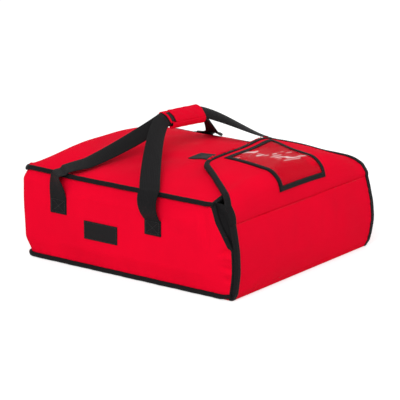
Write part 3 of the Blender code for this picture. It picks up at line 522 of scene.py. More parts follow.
def material_with(name, colour, roughness, values=None):
    material = bpy.data.materials.new(name)
    material.use_nodes = True
    shader = material.node_tree.nodes["Principled BSDF"]
    shader.inputs["Base Color"].default_value = (*colour, 1.0)
    shader.inputs["Roughness"].default_value = roughness
    for socket, value in (values or {}).items():
        shader.inputs[socket].default_value = value
    return material, shader


def node(tree, kind, inputs, **settings):
    """A new shader node; each of its inputs is a value or the socket that feeds it."""
    made = tree.nodes.new("ShaderNode" + kind)
    for setting, value in settings.items():
        setattr(made, setting, value)
    for socket, value in inputs.items():
        if isinstance(value, bpy.types.NodeSocket):
            tree.links.new(value, made.inputs[socket])
        else:
            made.inputs[socket].default_value = value
    return made


def wave(tree, vector, direction, spacing):
    """Threads that run across the given direction of the cloth's own coordinates."""
    inputs = {"Vector": vector, "Scale": 2 * math.pi / 20 / spacing, "Distortion": 0.3}
    return node(tree, "TexWave", inputs, wave_type="BANDS", bands_direction=direction).outputs["Fac"]


def math_node(tree, operation, first, second):
    return node(tree, "Math", {0: first, 1: second}, operation=operation).outputs[0]


def noise(tree, vector, scale, detail):
    return node(tree, "TexNoise", {"Vector": vector, "Scale": scale, "Detail": detail}).outputs["Fac"]


def bump(tree, height, depth, **before):
    return node(tree, "Bump", {"Height": height, "Strength": 1.0, "Distance": depth, **before}).outputs["Normal"]


def ramp(tree, value, stops):
    """Colours or greys along a value: stops are (place, colour)."""
    made = node(tree, "ValToRGB", {"Fac": value})
    for element, (place, colour) in zip(made.color_ramp.elements, stops):
        element.position = place
        element.color = (*colour, 1.0)
    return made.outputs["Color"]


def shade(colour, share):
    return [min(1.0, channel * share) for channel in colour]


def cloth(name, colour, roughness, threads, depth, mottle, values=None, gap=0.25, grain=0.0002):
    """Woven cloth: threads are the spacings of warp and weft, gap is how much darker the cloth is between them."""
    material, shader = material_with(name, colour, roughness, values)
    tree = material.node_tree
    coords = node(tree, "TexCoord", {}).outputs
    warp, weft = [wave(tree, coords["UV"], direction, spacing) for direction, spacing in zip("XY", threads)]
    crossing = math_node(tree, "ADD", math_node(tree, "MULTIPLY", warp, weft), 0.6)
    weave = math_node(tree, "MULTIPLY", math_node(tree, "MAXIMUM", warp, weft), crossing)
    soft = bump(tree, noise(tree, coords["Object"], 90.0, 4.0), grain)
    tree.links.new(bump(tree, weave, depth, Normal=soft), shader.inputs["Normal"])
    cloud = noise(tree, coords["Object"], 11.0, 5.0)
    worn = ramp(tree, cloud, ((0.32, shade(colour, 1 - mottle)), (0.68, shade(colour, 1 + mottle / 2))))
    gaps = ramp(tree, weave, ((0.0, [1 - gap] * 3), (0.8, [1.0] * 3)))
    mix = node(tree, "Mix", {"Factor": 1.0, "A": worn, "B": gaps}, data_type="RGBA", blend_type="MULTIPLY")
    tree.links.new(mix.outputs["Result"], shader.inputs["Base Color"])
    low, high = roughness - 0.06, min(1.0, roughness + 0.06)
    tree.links.new(ramp(tree, cloud, ((0.3, [low] * 3), (0.7, [high] * 3))), shader.inputs["Roughness"])
    return material


# Clear film: how far it faces away where it turns from clear to a pale pink painted reflection, and its opacity and
# colour on both sides
FILM_PAINTED_GLARE_SLANTS = (0.762, 0.778)
FILM_ALPHAS = ([0.24] * 3, [0.78] * 3)
FILM_TINT_AND_PAINTED_GLARE = ((0.66, 0.0, 0.016), (1.0, 0.68, 0.68))


def film():
    """Clear vinyl: it deepens the red behind it. Where it is seen at a slant it is glossy, and its colour turns pale
    pink and more opaque, a painted reflection.
    """
    material, shader = material_with("vinyl_film", (1.0, 0.80, 0.80), 0.12, {"Specular IOR Level": 0.06})
    tree = material.node_tree
    coords = node(tree, "TexCoord", {}).outputs
    stretch = node(tree, "Mapping", {"Vector": coords["UV"], "Scale": (1.0, 2.6, 1.0), "Rotation": (0.0, 0.0, 0.9)})
    waves = bump(tree, noise(tree, stretch.outputs["Vector"], 17.0, 1.0), 0.0060)
    tree.links.new(waves, shader.inputs["Normal"])
    facing = node(tree, "LayerWeight", {"Normal": waves, "Blend": 0.5}).outputs["Facing"]
    # The ramps paint a reflection: the wavy film turns pale pink and more opaque where it is seen at a slant
    for socket, stops in (("Alpha", FILM_ALPHAS), ("Base Color", FILM_TINT_AND_PAINTED_GLARE)):
        tree.links.new(ramp(tree, facing, tuple(zip(FILM_PAINTED_GLARE_SLANTS, stops))), shader.inputs[socket])
    return material


RED = (0.90, 0.0020, 0.026)
BLACK = (0.0075, 0.0070, 0.0078)
WEBBING_BLACK = (0.0088, 0.0083, 0.0092)


def make_materials():
    red_sheen = (1.0, 0.25, 0.3, 1.0)
    soft = {"Specular IOR Level": 0.015, "Sheen Weight": 0.02, "Sheen Roughness": 0.5, "Sheen Tint": red_sheen}
    dull = {"Specular IOR Level": 0.10, "Sheen Weight": 0.01, "Sheen Roughness": 0.4}
    pile = (0.011, 0.011, 0.011)
    return {
        "red": cloth("red_oxford", RED, 0.70, (0.0009, 0.0009), 0.00006, 0.06, soft, 0.12),
        "tape": cloth("black_tape", BLACK, 0.68, (0.0008, 0.0016), 0.00012, 0.25, dull),
        "webbing": cloth("black_webbing_weave", WEBBING_BLACK, 0.62, (0.0030, 0.0014), 0.00030, 0.2, dull, 0.6),
        "liner": cloth("dark_liner_cloth", (0.035, 0.035, 0.038), 0.5, (0.0007, 0.0007), 0.00005, 0.12),
        "foam": cloth("foam", (0.45, 0.45, 0.47), 0.9, (0.002, 0.002), 0.0001, 0.1),
        "hook": cloth("hook_and_loop_pile", pile, 0.95, (0.0010, 0.0010), 0.0003, 0.3, None, 0.6, 0.0006),
        "label": cloth("woven_label", (0.010, 0.0095, 0.010), 0.6, (0.0005, 0.0010), 0.00008, 0.15, dull, 0.3),
        "thread": material_with("black_thread", (0.022, 0.021, 0.022), 0.6)[0],
        "red_thread": material_with("red_thread", (0.62, 0.004, 0.02), 0.6)[0],
        "vinyl": film(),
    }


LOOKS = make_materials()


def dress(obj, nodes, body=None):
    """The nodes that the piece stands for and, where it doesn't bend, the body it rides on."""
    if body:
        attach(obj, body)
    if nodes:
        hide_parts(*nodes)
    return obj


def padded_panel(name, points, nodes, body=None, flip=False):
    """Red cloth, thickened by the depth of the pad."""
    obj = skin(name, points, "red", flip=flip)
    return dress(obj, nodes, body)


def lining(name, points, nodes, body=None, flip=False):
    """Liner cloth on the inside of a panel."""
    obj = skin(name, points, "liner", LINING, flip)
    return dress(obj, nodes, body)


# The bag's panels

def wall_grid(low, high, depth, start):
    """Grid on the side and back panels as one strip round the rear corners, depth inside their faces."""
    side_share = np.linspace(0.0, 1.0, 110)
    back_x = np.linspace(-1.0, 1.0, 110)
    arc = np.linspace(0.0, QUARTER, 12)[1:-1]
    grid = []
    for z in np.linspace(low, high, 46):
        loose = wall_swell(z)
        y = between(wall_front_y(z) + start, CORNER_Y, side_share)
        side_x = HALF_WIDTH - depth + SIDE_BULGE * swell(side_share) * loose
        back_y = BACK_Y - depth + BACK_BULGE * swell((back_x + 1) / 2) * loose
        left_x, left_y = corner_point(-1, arc, -depth)
        right_x, right_y = corner_point(1, arc[::-1], -depth)
        flat = HALF_WIDTH - CORNER_RADIUS
        xs = np.concatenate((-side_x, left_x, back_x * flat, right_x, side_x[::-1]))
        ys = np.concatenate((y, left_y, back_y, right_y, y[::-1]))
        grid.append(xyz(xs, ys, z))
    return np.array(grid)


# Folds of the sides: start and end as (distance behind the flap, height), width and height
SIDE_FOLDS = (
    ((0.002, 0.092), (0.026, 0.078), 0.0034, -0.0042),
    ((0.001, 0.078), (0.020, 0.073), 0.0050, 0.0030),
    ((0.001, 0.056), (0.022, 0.057), 0.0026, -0.0034),
    ((0.001, 0.048), (0.018, 0.046), 0.0040, 0.0024),
    ((0.001, 0.036), (0.014, 0.037), 0.0026, -0.0026),
    ((0.034, 0.150), (0.056, 0.085), 0.0100, -0.0028),
    ((0.075, 0.140), (0.110, 0.100), 0.0130, 0.0020),
)


def wall_panel():
    points = wall_grid(SEAM, SIDE_HEIGHT - SEAM, 0.0, 0.0)
    p = lengths(points, 1)
    p_far = p[:, -1:] - p
    q = points[..., 2]
    height = ripple(p, q, 0.0010) * wall_swell(q)
    height += folds(p, q, SIDE_FOLDS) + folds(p_far, q, SIDE_FOLDS)
    height += pucker(p, PIPING_TOP_LOW - q) + pucker(p + 1.0, q - PIPING_BOTTOM_HIGH)
    height += pucker(q, np.minimum(p, p_far), 0.0004, 0.009)
    relief = -face_normals(points) * height[..., None]
    layers = [f"{panel}_panel_{layer}" for panel in ("left", "right", "back") for layer in ("shell", "foam")]
    padded_panel("wall_panel", points + relief, layers, "bag", True)
    inside = wall_grid(SEAM + 0.001, SIDE_HEIGHT - SEAM - 0.001, WALL - LINING, 0.001) + relief
    liners = ["left_panel_liner", "right_panel_liner", "back_panel_liner"]
    lining("wall_lining", inside, liners, "bag", True)


# Folds of the top, under the straps and across its middle: start and end, width and height
TOP_FOLDS = (
    ((-0.150, 0.060), (-0.060, -0.020), 0.022, -0.0034),
    ((-0.120, -0.060), (-0.030, -0.075), 0.016, 0.0026),
    ((-0.060, 0.150), (0.070, 0.110), 0.025, -0.0030),
    ((-0.050, 0.032), (0.070, 0.045), 0.030, -0.0030),
)
TOP_CORNER_DENT = ((-0.212, 0.152), (-0.150, 0.108), 0.024, -0.0060)
TOP_CORNER_STEPS = 14


def top_grid(inset, depth, front):
    """Grid on the crowned top, drawn in by inset and lowered by depth."""
    corner = np.linspace(0.0, QUARTER, TOP_CORNER_STEPS)
    ys = np.concatenate((
        np.linspace(front, CORNER_Y, 110)[:-1],
        CORNER_Y + (CORNER_RADIUS - inset) * np.sin(corner),
    ))
    halves = np.full(len(ys), HALF_WIDTH - inset)
    halves[-TOP_CORNER_STEPS:] = HALF_WIDTH - CORNER_RADIUS + (CORNER_RADIUS - inset) * np.cos(corner)
    across = np.linspace(-1.0, 1.0, 121)[None, :]
    y = ys[:, None]
    return xyz(across * halves[:, None], y, top_height(across * HALF_WIDTH, y) - depth), across


def top_relief(x, y):
    """Soft dents and ridges of the top."""
    return ripple(x, y, 0.0013, 1.0) + folds(x, y, TOP_FOLDS)


def top_panel():
    points, across = top_grid(0.0, 0.0, MOUTH_EDGE_Y)
    x, y = points[..., 0], points[..., 1]
    edge = smooth((1 - np.abs(across)) / 0.15) * smooth((BACK_Y - y) / 0.03)
    height = top_relief(x, y) * edge + fold(x, y, *TOP_CORNER_DENT)
    height += pucker(y, (1 - np.abs(across)) * HALF_WIDTH, 0.0005, 0.008) + pucker(x, BACK_Y - y, 0.0005, 0.008)
    outer = points + face_normals(points) * height[..., None]
    padded_panel("top_panel", outer, ["top_panel_shell", "top_panel_foam"], "bag")
    inside, _ = top_grid(WALL + 0.0003, WALL - LINING, MOUTH_EDGE_Y + 0.0005)
    inside[..., 2] += height
    lining("top_lining", inside, ["top_panel_liner"], "bag")


def floor_grid(inset, back, height, phase):
    """Almost flat grid at a height, drawn in by inset and starting behind the flap."""
    points, _ = top_grid(inset, 0.0, FRONT_Y + back)
    points[..., 2] = height + ripple(points[..., 0], points[..., 1], 0.0002, phase)
    return points


def bottom_panel():
    points = floor_grid(FLOOR_INSET, FLOOR_BACK, 2 * FLOOR_LIFT, 3.0)
    obj = skin("bottom_cloth", points, "red", FLOOR_THICK, flip=True)
    dress(obj, ["bottom_panel_shell"], "bag")
    obj = skin("bottom_foam", floor_grid(WALL + 0.0003, INSIDE_BACK, WALL - LINING - 0.0004, 5.0), "foam", FLOOR_FOAM)
    dress(obj, ["bottom_panel_foam"], "bag")
    points = floor_grid(WALL + 0.0009, INSIDE_BACK, WALL + 0.0003, 5.0)
    lining("bottom_lining", points, ["bottom_panel_liner"], "bag")


# Piping: distance of its middle from the wall, half width and height, what its front ends lose over their run
PIPING_OUT = 0.0016
PIPING_HALF_WIDE = 0.0038
PIPING_HALF_TALL = 0.0044
PIPING_TAIL_LOSS = 0.0008
PIPING_TAIL_RUN = 0.020


def piping(name, node_name, z_middle, front, tail_rise, back_drop):
    """Bound piping round the sides and the back; its front ends run on to the flap's tape."""
    arc = np.linspace(0.0, QUARTER, 14)
    before_corner = np.linspace(front, CORNER_Y, 120)[:-1] - CORNER_Y
    along_back = np.linspace(2 * CORNER_RADIUS - 2 * HALF_WIDTH, 0.0, 110)[1:-1]
    # Each run: side, angle at the corner, and shift from the corner along x and y
    runs = (
        (-1, 0.0, 0.0, before_corner), (-1, arc, 0.0, 0.0), (1, QUARTER, along_back, 0.0),
        (1, arc[::-1], 0.0, 0.0), (1, 0.0, 0.0, before_corner[::-1]),
    )
    stops = np.concatenate([np.stack(np.broadcast_arrays(*run)) for run in runs], axis=1)
    side, angle, shift_x, shift_y = stops[..., None]
    place = np.arange(len(side))[:, None]
    wobble = 0.00035 * np.sin(0.35 * place) + 0.00025 * np.sin(0.93 * place + 1.0)
    tail = rise(CORNER_Y + shift_y, front + PIPING_TAIL_RUN, front)
    loss = PIPING_TAIL_LOSS * tail
    turn = np.linspace(0.0, 2 * math.pi, 17)[:-1]
    x, y = corner_point(side, angle, PIPING_OUT + wobble + PIPING_HALF_WIDE * np.cos(turn) - loss)
    y = y + shift_y
    z = z_middle - back_drop * rise(y, CORNER_Y, BACK_Y) + tail_rise * tail + (PIPING_HALF_TALL - loss) * np.sin(turn)
    tape(name, xyz(x + shift_x, y, z), node_name, "bag")


def mouth_tape(side, word):
    """Tape on a side panel's front edge; below the knee its outer leg is tucked under the flap's tape."""
    z = np.linspace(PIPING_BOTTOM_HIGH + 0.0006, SIDE_HEIGHT - 0.0010, 70)
    edges = xyz(side * HALF_WIDTH, wall_front_y(z), z)
    tangents = unit(np.gradient(edges, axis=0))
    back = xyz(0.0, tangents[:, 2], -tangents[:, 1])
    legs = between(TUCKED_LEG, TAPE_LEG, rise(z, KNEE_Z - 0.004, KNEE_Z + 0.006))
    inner = edges + back * legs[:, None]
    edge_tape("mouth_tape_" + word, "mouth_binding_" + word, edges, inner, (side, 0.0, 0.0), ((0.0003, 0.6),), "bag")


def mouth_top_tape():
    half = HALF_WIDTH + 0.0012
    x = np.linspace(-half, half, 90)
    edges, inner = [xyz(x, y, top_height(x, y)) for y in (MOUTH_EDGE_Y, MOUTH_EDGE_Y + TAPE_LEG)]
    edge_tape("mouth_tape_top", "mouth_binding_top", edges, inner, UP, ((0.0003, 0.5),), "bag")


def gusset(side, word):
    """Slack black cloth between a side panel's slant and the flap's and lap's edges."""
    share = np.linspace(0.0, 1.0, 24)[:, None]
    across = np.linspace(0.0, 1.0, 14)[None, :]
    z = between(KNEE_Z + 0.003, SIDE_HEIGHT + 0.0025, share)
    rear = wall_front_y(z) + 0.0004
    turn = np.clip((z - CREASE_Z) / (top_height(HALF_WIDTH, LAP_TURN_Y) + LAP_LIFT - CREASE_Z), 0.0, 0.999)
    front = between(LAP_TURN_Y, CREASE_Y, np.sqrt(1 - turn ** 2)) + BEHIND_FLAP
    front = np.minimum(front, rear - 0.0008)
    depth = 0.0028 + 0.0034 * np.sin(math.pi * across) * np.sin(math.pi * share)
    depth = depth + 0.0008 * np.sin(9 * share + 5 * across)
    points = xyz(side * (HALF_WIDTH - depth), between(rear, front, across), z)
    obj = skin("gusset_" + word + "_cloth", points, "tape", 0.0008, flip=side > 0)
    dress(obj, ["gusset_" + word], "bag")


# The flap and the lap

def crease_pinch(distance):
    """The stitched crease draws both cloths in."""
    return -0.0006 * np.exp(-(distance / 0.0040) ** 2)


def crease_blend(obj):
    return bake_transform(obj)


def front_grid(depth, half, low):
    x, z = np.meshgrid(np.linspace(-half, half, 130), np.linspace(low, CREASE_Z, 60))
    puff = swell((x / half + 1) / 2) * swell((z - FLAP_BOTTOM) / (CREASE_Z - FLAP_BOTTOM))
    return xyz(x, FRONT_Y + depth - flap_bow(z) - FRONT_BULGE * puff, z)


# Folds of the flap's front and of the lap: start and end in the panel, width and height
FRONT_FOLDS = (
    ((-0.020, 0.118), (-0.034, 0.050), 0.016, -0.0014),
    ((0.045, 0.125), (0.030, 0.060), 0.013, 0.0012),
    ((0.105, 0.120), (0.098, 0.060), 0.014, -0.0014),
    ((-0.200, 0.010), (-0.120, 0.030), 0.010, 0.0012),
)
LAP_FOLDS = (
    ((-0.190, -0.190), (-0.130, -0.180), 0.0080, -0.0022),
    ((-0.185, -0.170), (-0.120, -0.150), 0.0090, 0.0020),
    ((-0.170, -0.140), (-0.110, -0.120), 0.0080, -0.0016),
)


def front_panel():
    points = front_grid(0.0, FLAP_HALF, FLAP_BOTTOM)
    x, z = points[..., 0], points[..., 2]
    height = ripple(x, z, 0.0010, 2.5) * swell((x / FLAP_HALF + 1) / 2) * smooth(z / 0.02)
    height += crease_pinch(CREASE_Z - z) + folds(x, z, FRONT_FOLDS)
    height += pucker(z, FLAP_HALF - np.abs(x), 0.0004, 0.012) + pucker(x, CREASE_Z - z, 0.0002, 0.006)
    points[..., 1] -= height
    crease_blend(padded_panel("front_panel", points, ["front_panel_shell", "front_panel_foam"]))
    inside = front_grid(WALL - LINING, FLAP_HALF - 0.0005, FLAP_BOTTOM + 0.0003)
    inside[..., 1] -= height
    crease_blend(lining("front_lining", inside, ["front_panel_liner"]))


def hinge_cloth():
    """The red cloth that rolls from the floor of the bag into the foot of the flap."""
    turns = np.linspace(-QUARTER, QUARTER * 0.1, 9)
    section = [(FRONT_Y + 0.006, 0.0003), (FRONT_Y + 0.003, FLOOR_LIFT)]
    section += [
        (FRONT_Y + 0.0018 - HINGE_RADIUS * math.cos(turn), HINGE_RADIUS + FLOOR_LIFT + HINGE_RADIUS * math.sin(turn))
        for turn in turns
    ]
    section += [(FRONT_Y - float(flap_bow(z)) - 0.0004, z) for z in (0.0065, 0.0095)]
    y, z = np.array(section).T[..., None]
    points = xyz(np.linspace(-FLAP_HALF + 0.001, FLAP_HALF - 0.001, 90), y, z)
    obj = skin("hinge_cloth", points, "red", 0.0005)
    dress(obj, [])
    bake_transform(obj)


def lap_curl(x, t):
    """The lap's far edge dips and turns up behind the bend, and its far back corner stands a little higher."""
    halves, shares = lap_outline()
    inside = np.interp(t, shares, halves) - x
    dip = smooth(1 - inside / 0.090)
    turned_up = np.clip(1 - inside / 0.030, 0.0, 1.0) ** 2
    bend = rise(t, 0.05, 0.40) * rise(t, 0.70, 0.42)
    raised = 0.0068 * np.exp(-((x - 0.066) / 0.040) ** 2)
    return (0.0060 * turned_up - 0.0035 * dip) * bend + raised * rise(t, 0.55, 0.90)


def lap_panel():
    halves, shares = lap_outline()
    across = np.linspace(-1.0, 1.0, 121)[None, :]
    x = across * (halves[:, None] - 0.0010)
    t = np.minimum(shares, 0.995)[:, None] + 0 * x
    normals = lap_normal(x, t)
    points = lap_point(x, t) + normals * lap_curl(x, t)[..., None]
    edge = smooth((1 - np.abs(across)) / 0.12) * smooth((1 - t) / 0.15)
    along = lengths(points, 0)
    inside = (1 - np.abs(across)) * HALF_WIDTH
    y = points[..., 1]
    height = ripple(x, y, 0.0010, 4.0) * edge + crease_pinch(along)
    height += folds(x, y, LAP_FOLDS) * rise(inside, 0.005, 0.019)
    height += pucker(along, inside, 0.0004, 0.012)
    outer = points + normals * height[..., None]
    crease_blend(padded_panel("lap_panel", outer, ["lap_shell", "lap_foam"]))
    crease_blend(lining("lap_lining", outer - normals * (WALL - LINING), ["lap_liner"]))


def lap_tape():
    """One tape round the lap's free edge; gives the rows of its seam."""
    halves, shares = lap_outline()
    back = np.linspace(-1.0, 1.0, 80)[1:-1] * halves[-1]
    x = np.concatenate((-halves, back, halves[::-1]))
    t = np.concatenate((shares, np.ones(len(back)), shares[::-1]))
    points = lap_point(x, t)
    normals = lap_normal(x, t)
    outward = unit(np.cross(normals, unit(np.gradient(points, axis=0))))
    step = 0.002
    along = lap_point(x, t + step) - lap_point(x, np.maximum(0.0, t - step))
    back_t = TAPE_LEG * (outward * along).sum(axis=1) / (along * along).sum(axis=1) * 2 * step
    inner = points - outward * TAPE_LEG
    inner += normals * lap_curl(inner[:, 0], np.clip(t - back_t, 0.0, 1.0))[:, None]
    edges = points + normals * lap_curl(x, t)[:, None]
    waves = ((0.0004, 0.45), (0.0003, 1.13))
    crease_blend(edge_tape("lap_tape", "lap_binding", edges, inner, normals, waves))
    return [(inner + outward * SEAM_INSET + normals * (TAPE_REACH + THREAD_LIFT), normals)]


def flap_tape(side, word):
    """Tape on one edge of the flap's front; gives the row of its seam."""
    z = np.linspace(FLAP_BOTTOM - 0.0008, CREASE_Z, 60)
    edges = xyz(side * FLAP_HALF, FRONT_Y - flap_bow(z), z)
    inner = edges - (side * TAPE_LEG, 0.0, 0.0)
    crease_blend(edge_tape("flap_tape_" + word, "flap_binding_" + word, edges, inner, FORWARD, ((0.0004, 0.4),)))
    return inner + (side * SEAM_INSET, -TAPE_REACH - THREAD_LIFT, 0.0), FORWARD


def crease_thread():
    """The row of stitches that holds the crease."""
    line = xyz(np.linspace(-FLAP_HALF + 0.009, FLAP_HALF - 0.009, 80), CREASE_Y + 0.0008, CREASE_Z - 0.0012)
    crease_blend(dress(stitches("crease_thread", [(line, FORWARD)], "red_thread"), []))


# Ticket pocket, hook and loop strips, label

def corner_walk(corners, steps):
    """Places round a closed outline, with the same count of steps on each side."""
    for a, b in zip(corners, corners[1:] + corners[:1]):
        for share in np.linspace(0.0, 1.0, steps)[:-1]:
            yield between(np.array(a, float), np.array(b, float), share)


# Section of the pocket's frame: share of its width from outside in, and height
POCKET_PROFILE = (
    (0.0, 0.0004), (0.0, 0.0013), (0.05, 0.0020), (0.2, 0.0024), (0.5, 0.0025), (0.8, 0.0024), (0.95, 0.0020),
    (1.0, 0.0016), (0.9, 0.0015), (0.35, 0.0016), (0.25, 0.0004),
)


def pocket():
    ts = np.linspace(LAP_TURN_SHARE * POCKET_FIRST, float(lap_share(LAP_END_Y - POCKET_BACK)), 60)
    arc = lengths(lap_point(np.zeros((60, 1)), ts[:, None]), 0)[:, 0]
    total = arc[-1]

    def place(u, v, lift):
        """Point of the pocket: u across from its middle, v along from its front edge."""
        t = np.interp(v, arc, ts)
        return lap_point(u, t) + lap_normal(u, t) * (lap_curl(u, t) + np.asarray(lift))[..., None]

    inset = POCKET_BAR * 0.7
    half = POCKET_HALF - inset
    u, v = np.meshgrid(np.linspace(-half, half, 50), np.linspace(inset, total - inset, 50))
    lift = 0.0012 + 0.0006 * np.sin(60 * u + 35 * v) * np.sin(math.pi * (v / total))
    obj = skin("pocket_film", place(u, v, lift), "vinyl", 0.0003)
    dress(obj, ["pocket_window"], "lap")

    def on_bar(across, along, share):
        """Place in the pocket at a share of its frame's width."""
        bar = POCKET_BAR * share
        return across * (POCKET_HALF - bar), between(bar, total - bar, along)

    rings, seam, normals = [], [], []
    for stop in corner_walk(((-1, 0), (1, 0), (1, 1), (-1, 1)), 40):
        rings.append([place(*on_bar(*stop, share), height) for share, height in POCKET_PROFILE])
        spot = on_bar(*stop, 0.82)
        seam.append(place(*spot, 0.0025))
        normals.append(lap_normal(spot[0], np.interp(spot[1], arc, ts)))
    tape("pocket_tape", rings, "pocket_frame", "lap", looped=True)
    thread = stitches("pocket_thread", [(seam + seam[:1], normals + normals[:1])], "thread")
    dress(thread, [], "lap")


def hook_and_loop():
    """Loop strips on the top and hook strips under the lap; gives the rows of stitches of the loop strips."""
    rows = []
    for word, x_middle, end, length in (
        ("left", -STRIP_X, LAP_END_Y + 0.056, 0.120), ("right", STRIP_X, LAP_END_Y - 0.012, 0.070),
    ):
        xs = np.linspace(x_middle - STRIP_HALF, x_middle + STRIP_HALF, 20)
        x, y = np.meshgrid(xs, np.linspace(end - length, end, 50))
        lift = 0.0019 + 0.0003 * np.sin(160 * y + 90 * x) + top_relief(x, y)
        obj = skin(f"loop_strip_{word}_pile", xyz(x, y, top_height(x, y) + lift), "hook", PILE)
        dress(obj, ["loop_strip_" + word], "bag")
        for edge_x in (x_middle - STRIP_HALF + 0.0025, x_middle + STRIP_HALF - 0.0025):
            ys = np.linspace(end - length, end, 30)
            rows.append((xyz(edge_x, ys, top_height(edge_x, ys) + top_relief(edge_x, ys) + 0.0021), UP))
        x, t = np.meshgrid(xs, lap_share(np.linspace(LAP_END_Y - 0.078, LAP_END_Y - 0.016, 30)))
        points = lap_point(x, t) - lap_normal(x, t) * (WALL + 0.0005)
        obj = skin(f"hook_strip_{word}_pile", points, "hook", PILE)
        dress(obj, ["hook_strip_" + word], "lap")
    return rows


LABEL_SPAN = ((0.0155, 0.0905), (0.0575, 0.0905))
LABEL_SEAM = 0.002


def label():
    """Bare woven label on the near side; gives the row of its stitches."""
    (y_low, y_high), (z_low, z_high) = LABEL_SPAN
    y, z = np.meshgrid(np.linspace(y_low, y_high, 60), np.linspace(z_low, z_high, 30))

    def face(y, z, lift):
        return xyz(-HALF_WIDTH - side_bulge(y, z) - lift, y, z)

    dress(skin("label_cloth", face(y, z, 0.0014), "label", 0.0007, flip=True), ["label_patch"], "bag")
    middle = np.array(((y_low + y_high) / 2, (z_low + z_high) / 2))
    line = []
    for spot in corner_walk(((y_low, z_low), (y_high, z_low), (y_high, z_high), (y_low, z_high)), 20):
        line.append(face(*(spot - np.sign(spot - middle) * LABEL_SEAM), 0.0015))
    return [(line + line[:1], (-1.0, 0.0, 0.0))]


# Handles

def grip_axes():
    """Directions along the grip, across its webbing and out of its upper face."""
    level = np.array((-math.sin(GRIP_YAW), math.cos(GRIP_YAW), 0.0))
    heading = np.array((math.cos(GRIP_YAW), math.sin(GRIP_YAW), 0.0))
    along = heading * math.cos(GRIP_DROOP) - UP * math.sin(GRIP_DROOP)
    across = level * math.cos(GRIP_TILT) + np.cross(along, level) * math.sin(GRIP_TILT)
    return along, across, np.cross(along, across)


ALONG, ACROSS, OUT = grip_axes()


def grip_point(a, w, n):
    """Point of the grip; its webbing is cupped over its middle."""
    cup = GRIP_CUP * (1 - (2 * w / STRAP_GRIP_WIDTH) ** 2)
    a, w, n = [value[..., None] for value in np.broadcast_arrays(a, w, n + cup)]
    return GRIP_PLACE + ALONG * a + ACROSS * w + OUT * n


def curve_point(points, share):
    """Point on the smooth curve that a row of points draws."""
    while len(points) > 1:
        points = [between(a, b, share) for a, b in zip(points, points[1:])]
    return points[0]


def strap_route(word, side):
    """The strap's centres, shares of its way over the top and directions of its width; then its leg's two ends."""
    strap_y = STRAP_YS[word]
    level = np.array((0.0, 1.0, 0.0))
    off = np.array((float(side), 0.0, 0.0))
    place, tilt, climb, turn_from, turn_to, bulge, bow, beside = STRAP_TURNS[word, side]
    start = np.array((side * (HALF_WIDTH + place[0]), strap_y + place[1], place[2]))
    end = grip_point(side * (GRIP_HALF + PAST_GRIP), 0.0, STRAP_STACK[word]) - OUT * GRIP_CUP
    plan = unit((end - start) * (1 - UP))
    turned = np.cross(UP, plan)
    tilt = math.radians(tilt)
    turned = turned * np.sign(turned[1]) * math.cos(tilt) + UP * math.sin(tilt)
    turned = between(level, turned, STRAP_TURNED)
    heading = unit(plan + UP * climb)
    bow = np.array((*bow, 0.0))
    by_grip = end + ALONG * side * 0.016
    leg = [start, start + heading * STRAP_STEP + bow, start + (heading * STRAP_STEP + bow) * 2]
    leg += [by_grip + ALONG * side * beside[0] - UP * beside[1], by_grip, end]
    tab_z = np.linspace(TAB_LOWS[word], TAB_LOWS[word] + TAB_TALL, 8)
    tab = xyz(side * (TAB_OUT + side_bulge(strap_y, tab_z)), strap_y, tab_z)
    loose = [tab[-1], tab[-1] + off * bulge + UP * 0.014]
    loose += [start + off * bulge - UP * 0.012, start - heading * 0.010, start]
    line = [(point, 0.0, level) for point in tab[:-1]]
    for share in np.linspace(0.0, 1.0, 20)[:-1]:
        line.append((curve_point(loose, share), 0.0, between(level, turned, smooth(share))))
    for share in np.linspace(0.0, 1.0, 44):
        line.append((curve_point(leg, share), share, between(turned, ACROSS, rise(share, turn_from, turn_to))))
    centres, shares, widths = [np.array(column) for column in zip(*line)]
    return centres, shares, widths, start, end


def strap(word, side, side_word):
    """Webbing from its sewn tab, loosely over the piping and up to the grip; gives the row of its tab's stitches."""
    centres, shares, widths, start, end = strap_route(word, side)
    x, y = centres[:, 0], centres[:, 1]
    reach = np.minimum(np.abs(x) - 0.012, HALF_WIDTH)
    rest_z = top_height(reach, y) + top_relief(x, y) * 0.5 + STRAP_CLEAR
    centres[:, 2] = np.where(np.abs(x) < HALF_WIDTH, np.maximum(centres[:, 2], rest_z), centres[:, 2])
    shares = smooth(shares)
    spans = between(STRAP_WIDTH, STRAP_GRIP_WIDTH, shares)
    cups = -side * (STRAP_SIDEWAYS * np.sin(math.pi * shares) + GRIP_CUP * shares ** 2)
    obj = webbing(f"strap_{word}_{side_word}", centres, unit(np.gradient(centres, axis=0)), widths, spans, cups)
    dress(obj, [f"strap_{part}_{word}_{side_word}" for part in ("end", "leg")])
    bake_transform(obj)
    across, up = np.array(TAB_SEAM).T
    z = TAB_LOWS[word] + between(0.003, TAB_TALL - 0.002, up)
    out = TAB_OUT + STRAP_THICK / 2 + THREAD_LIFT + side_bulge(STRAP_YS[word], z)
    return [(xyz(side * out, STRAP_YS[word] + across * (STRAP_WIDTH / 2 - 0.0035), z), (side, 0.0, 0.0))]


def strap_middle(word):
    places = np.linspace(-1, 1, 20) * (GRIP_HALF + CORE_PAST_GRIP)
    centres = grip_point(places, 0.0, STRAP_STACK[word]) - OUT * GRIP_CUP
    along, across = [np.broadcast_to(direction, centres.shape) for direction in (ALONG, ACROSS)]
    spans, cups = [np.full(len(places), size) for size in (STRAP_GRIP_WIDTH, GRIP_CUP)]
    obj = webbing("strap_core_" + word, centres, along, across, spans, cups)
    dress(obj, ["strap_middle_" + word], "handle")


def arc_points(centre, radius, start, end, steps):
    turns = np.radians(np.linspace(start, end, steps + 1))
    return [(centre[0] + radius * math.cos(turn), centre[1] + radius * math.sin(turn)) for turn in turns]


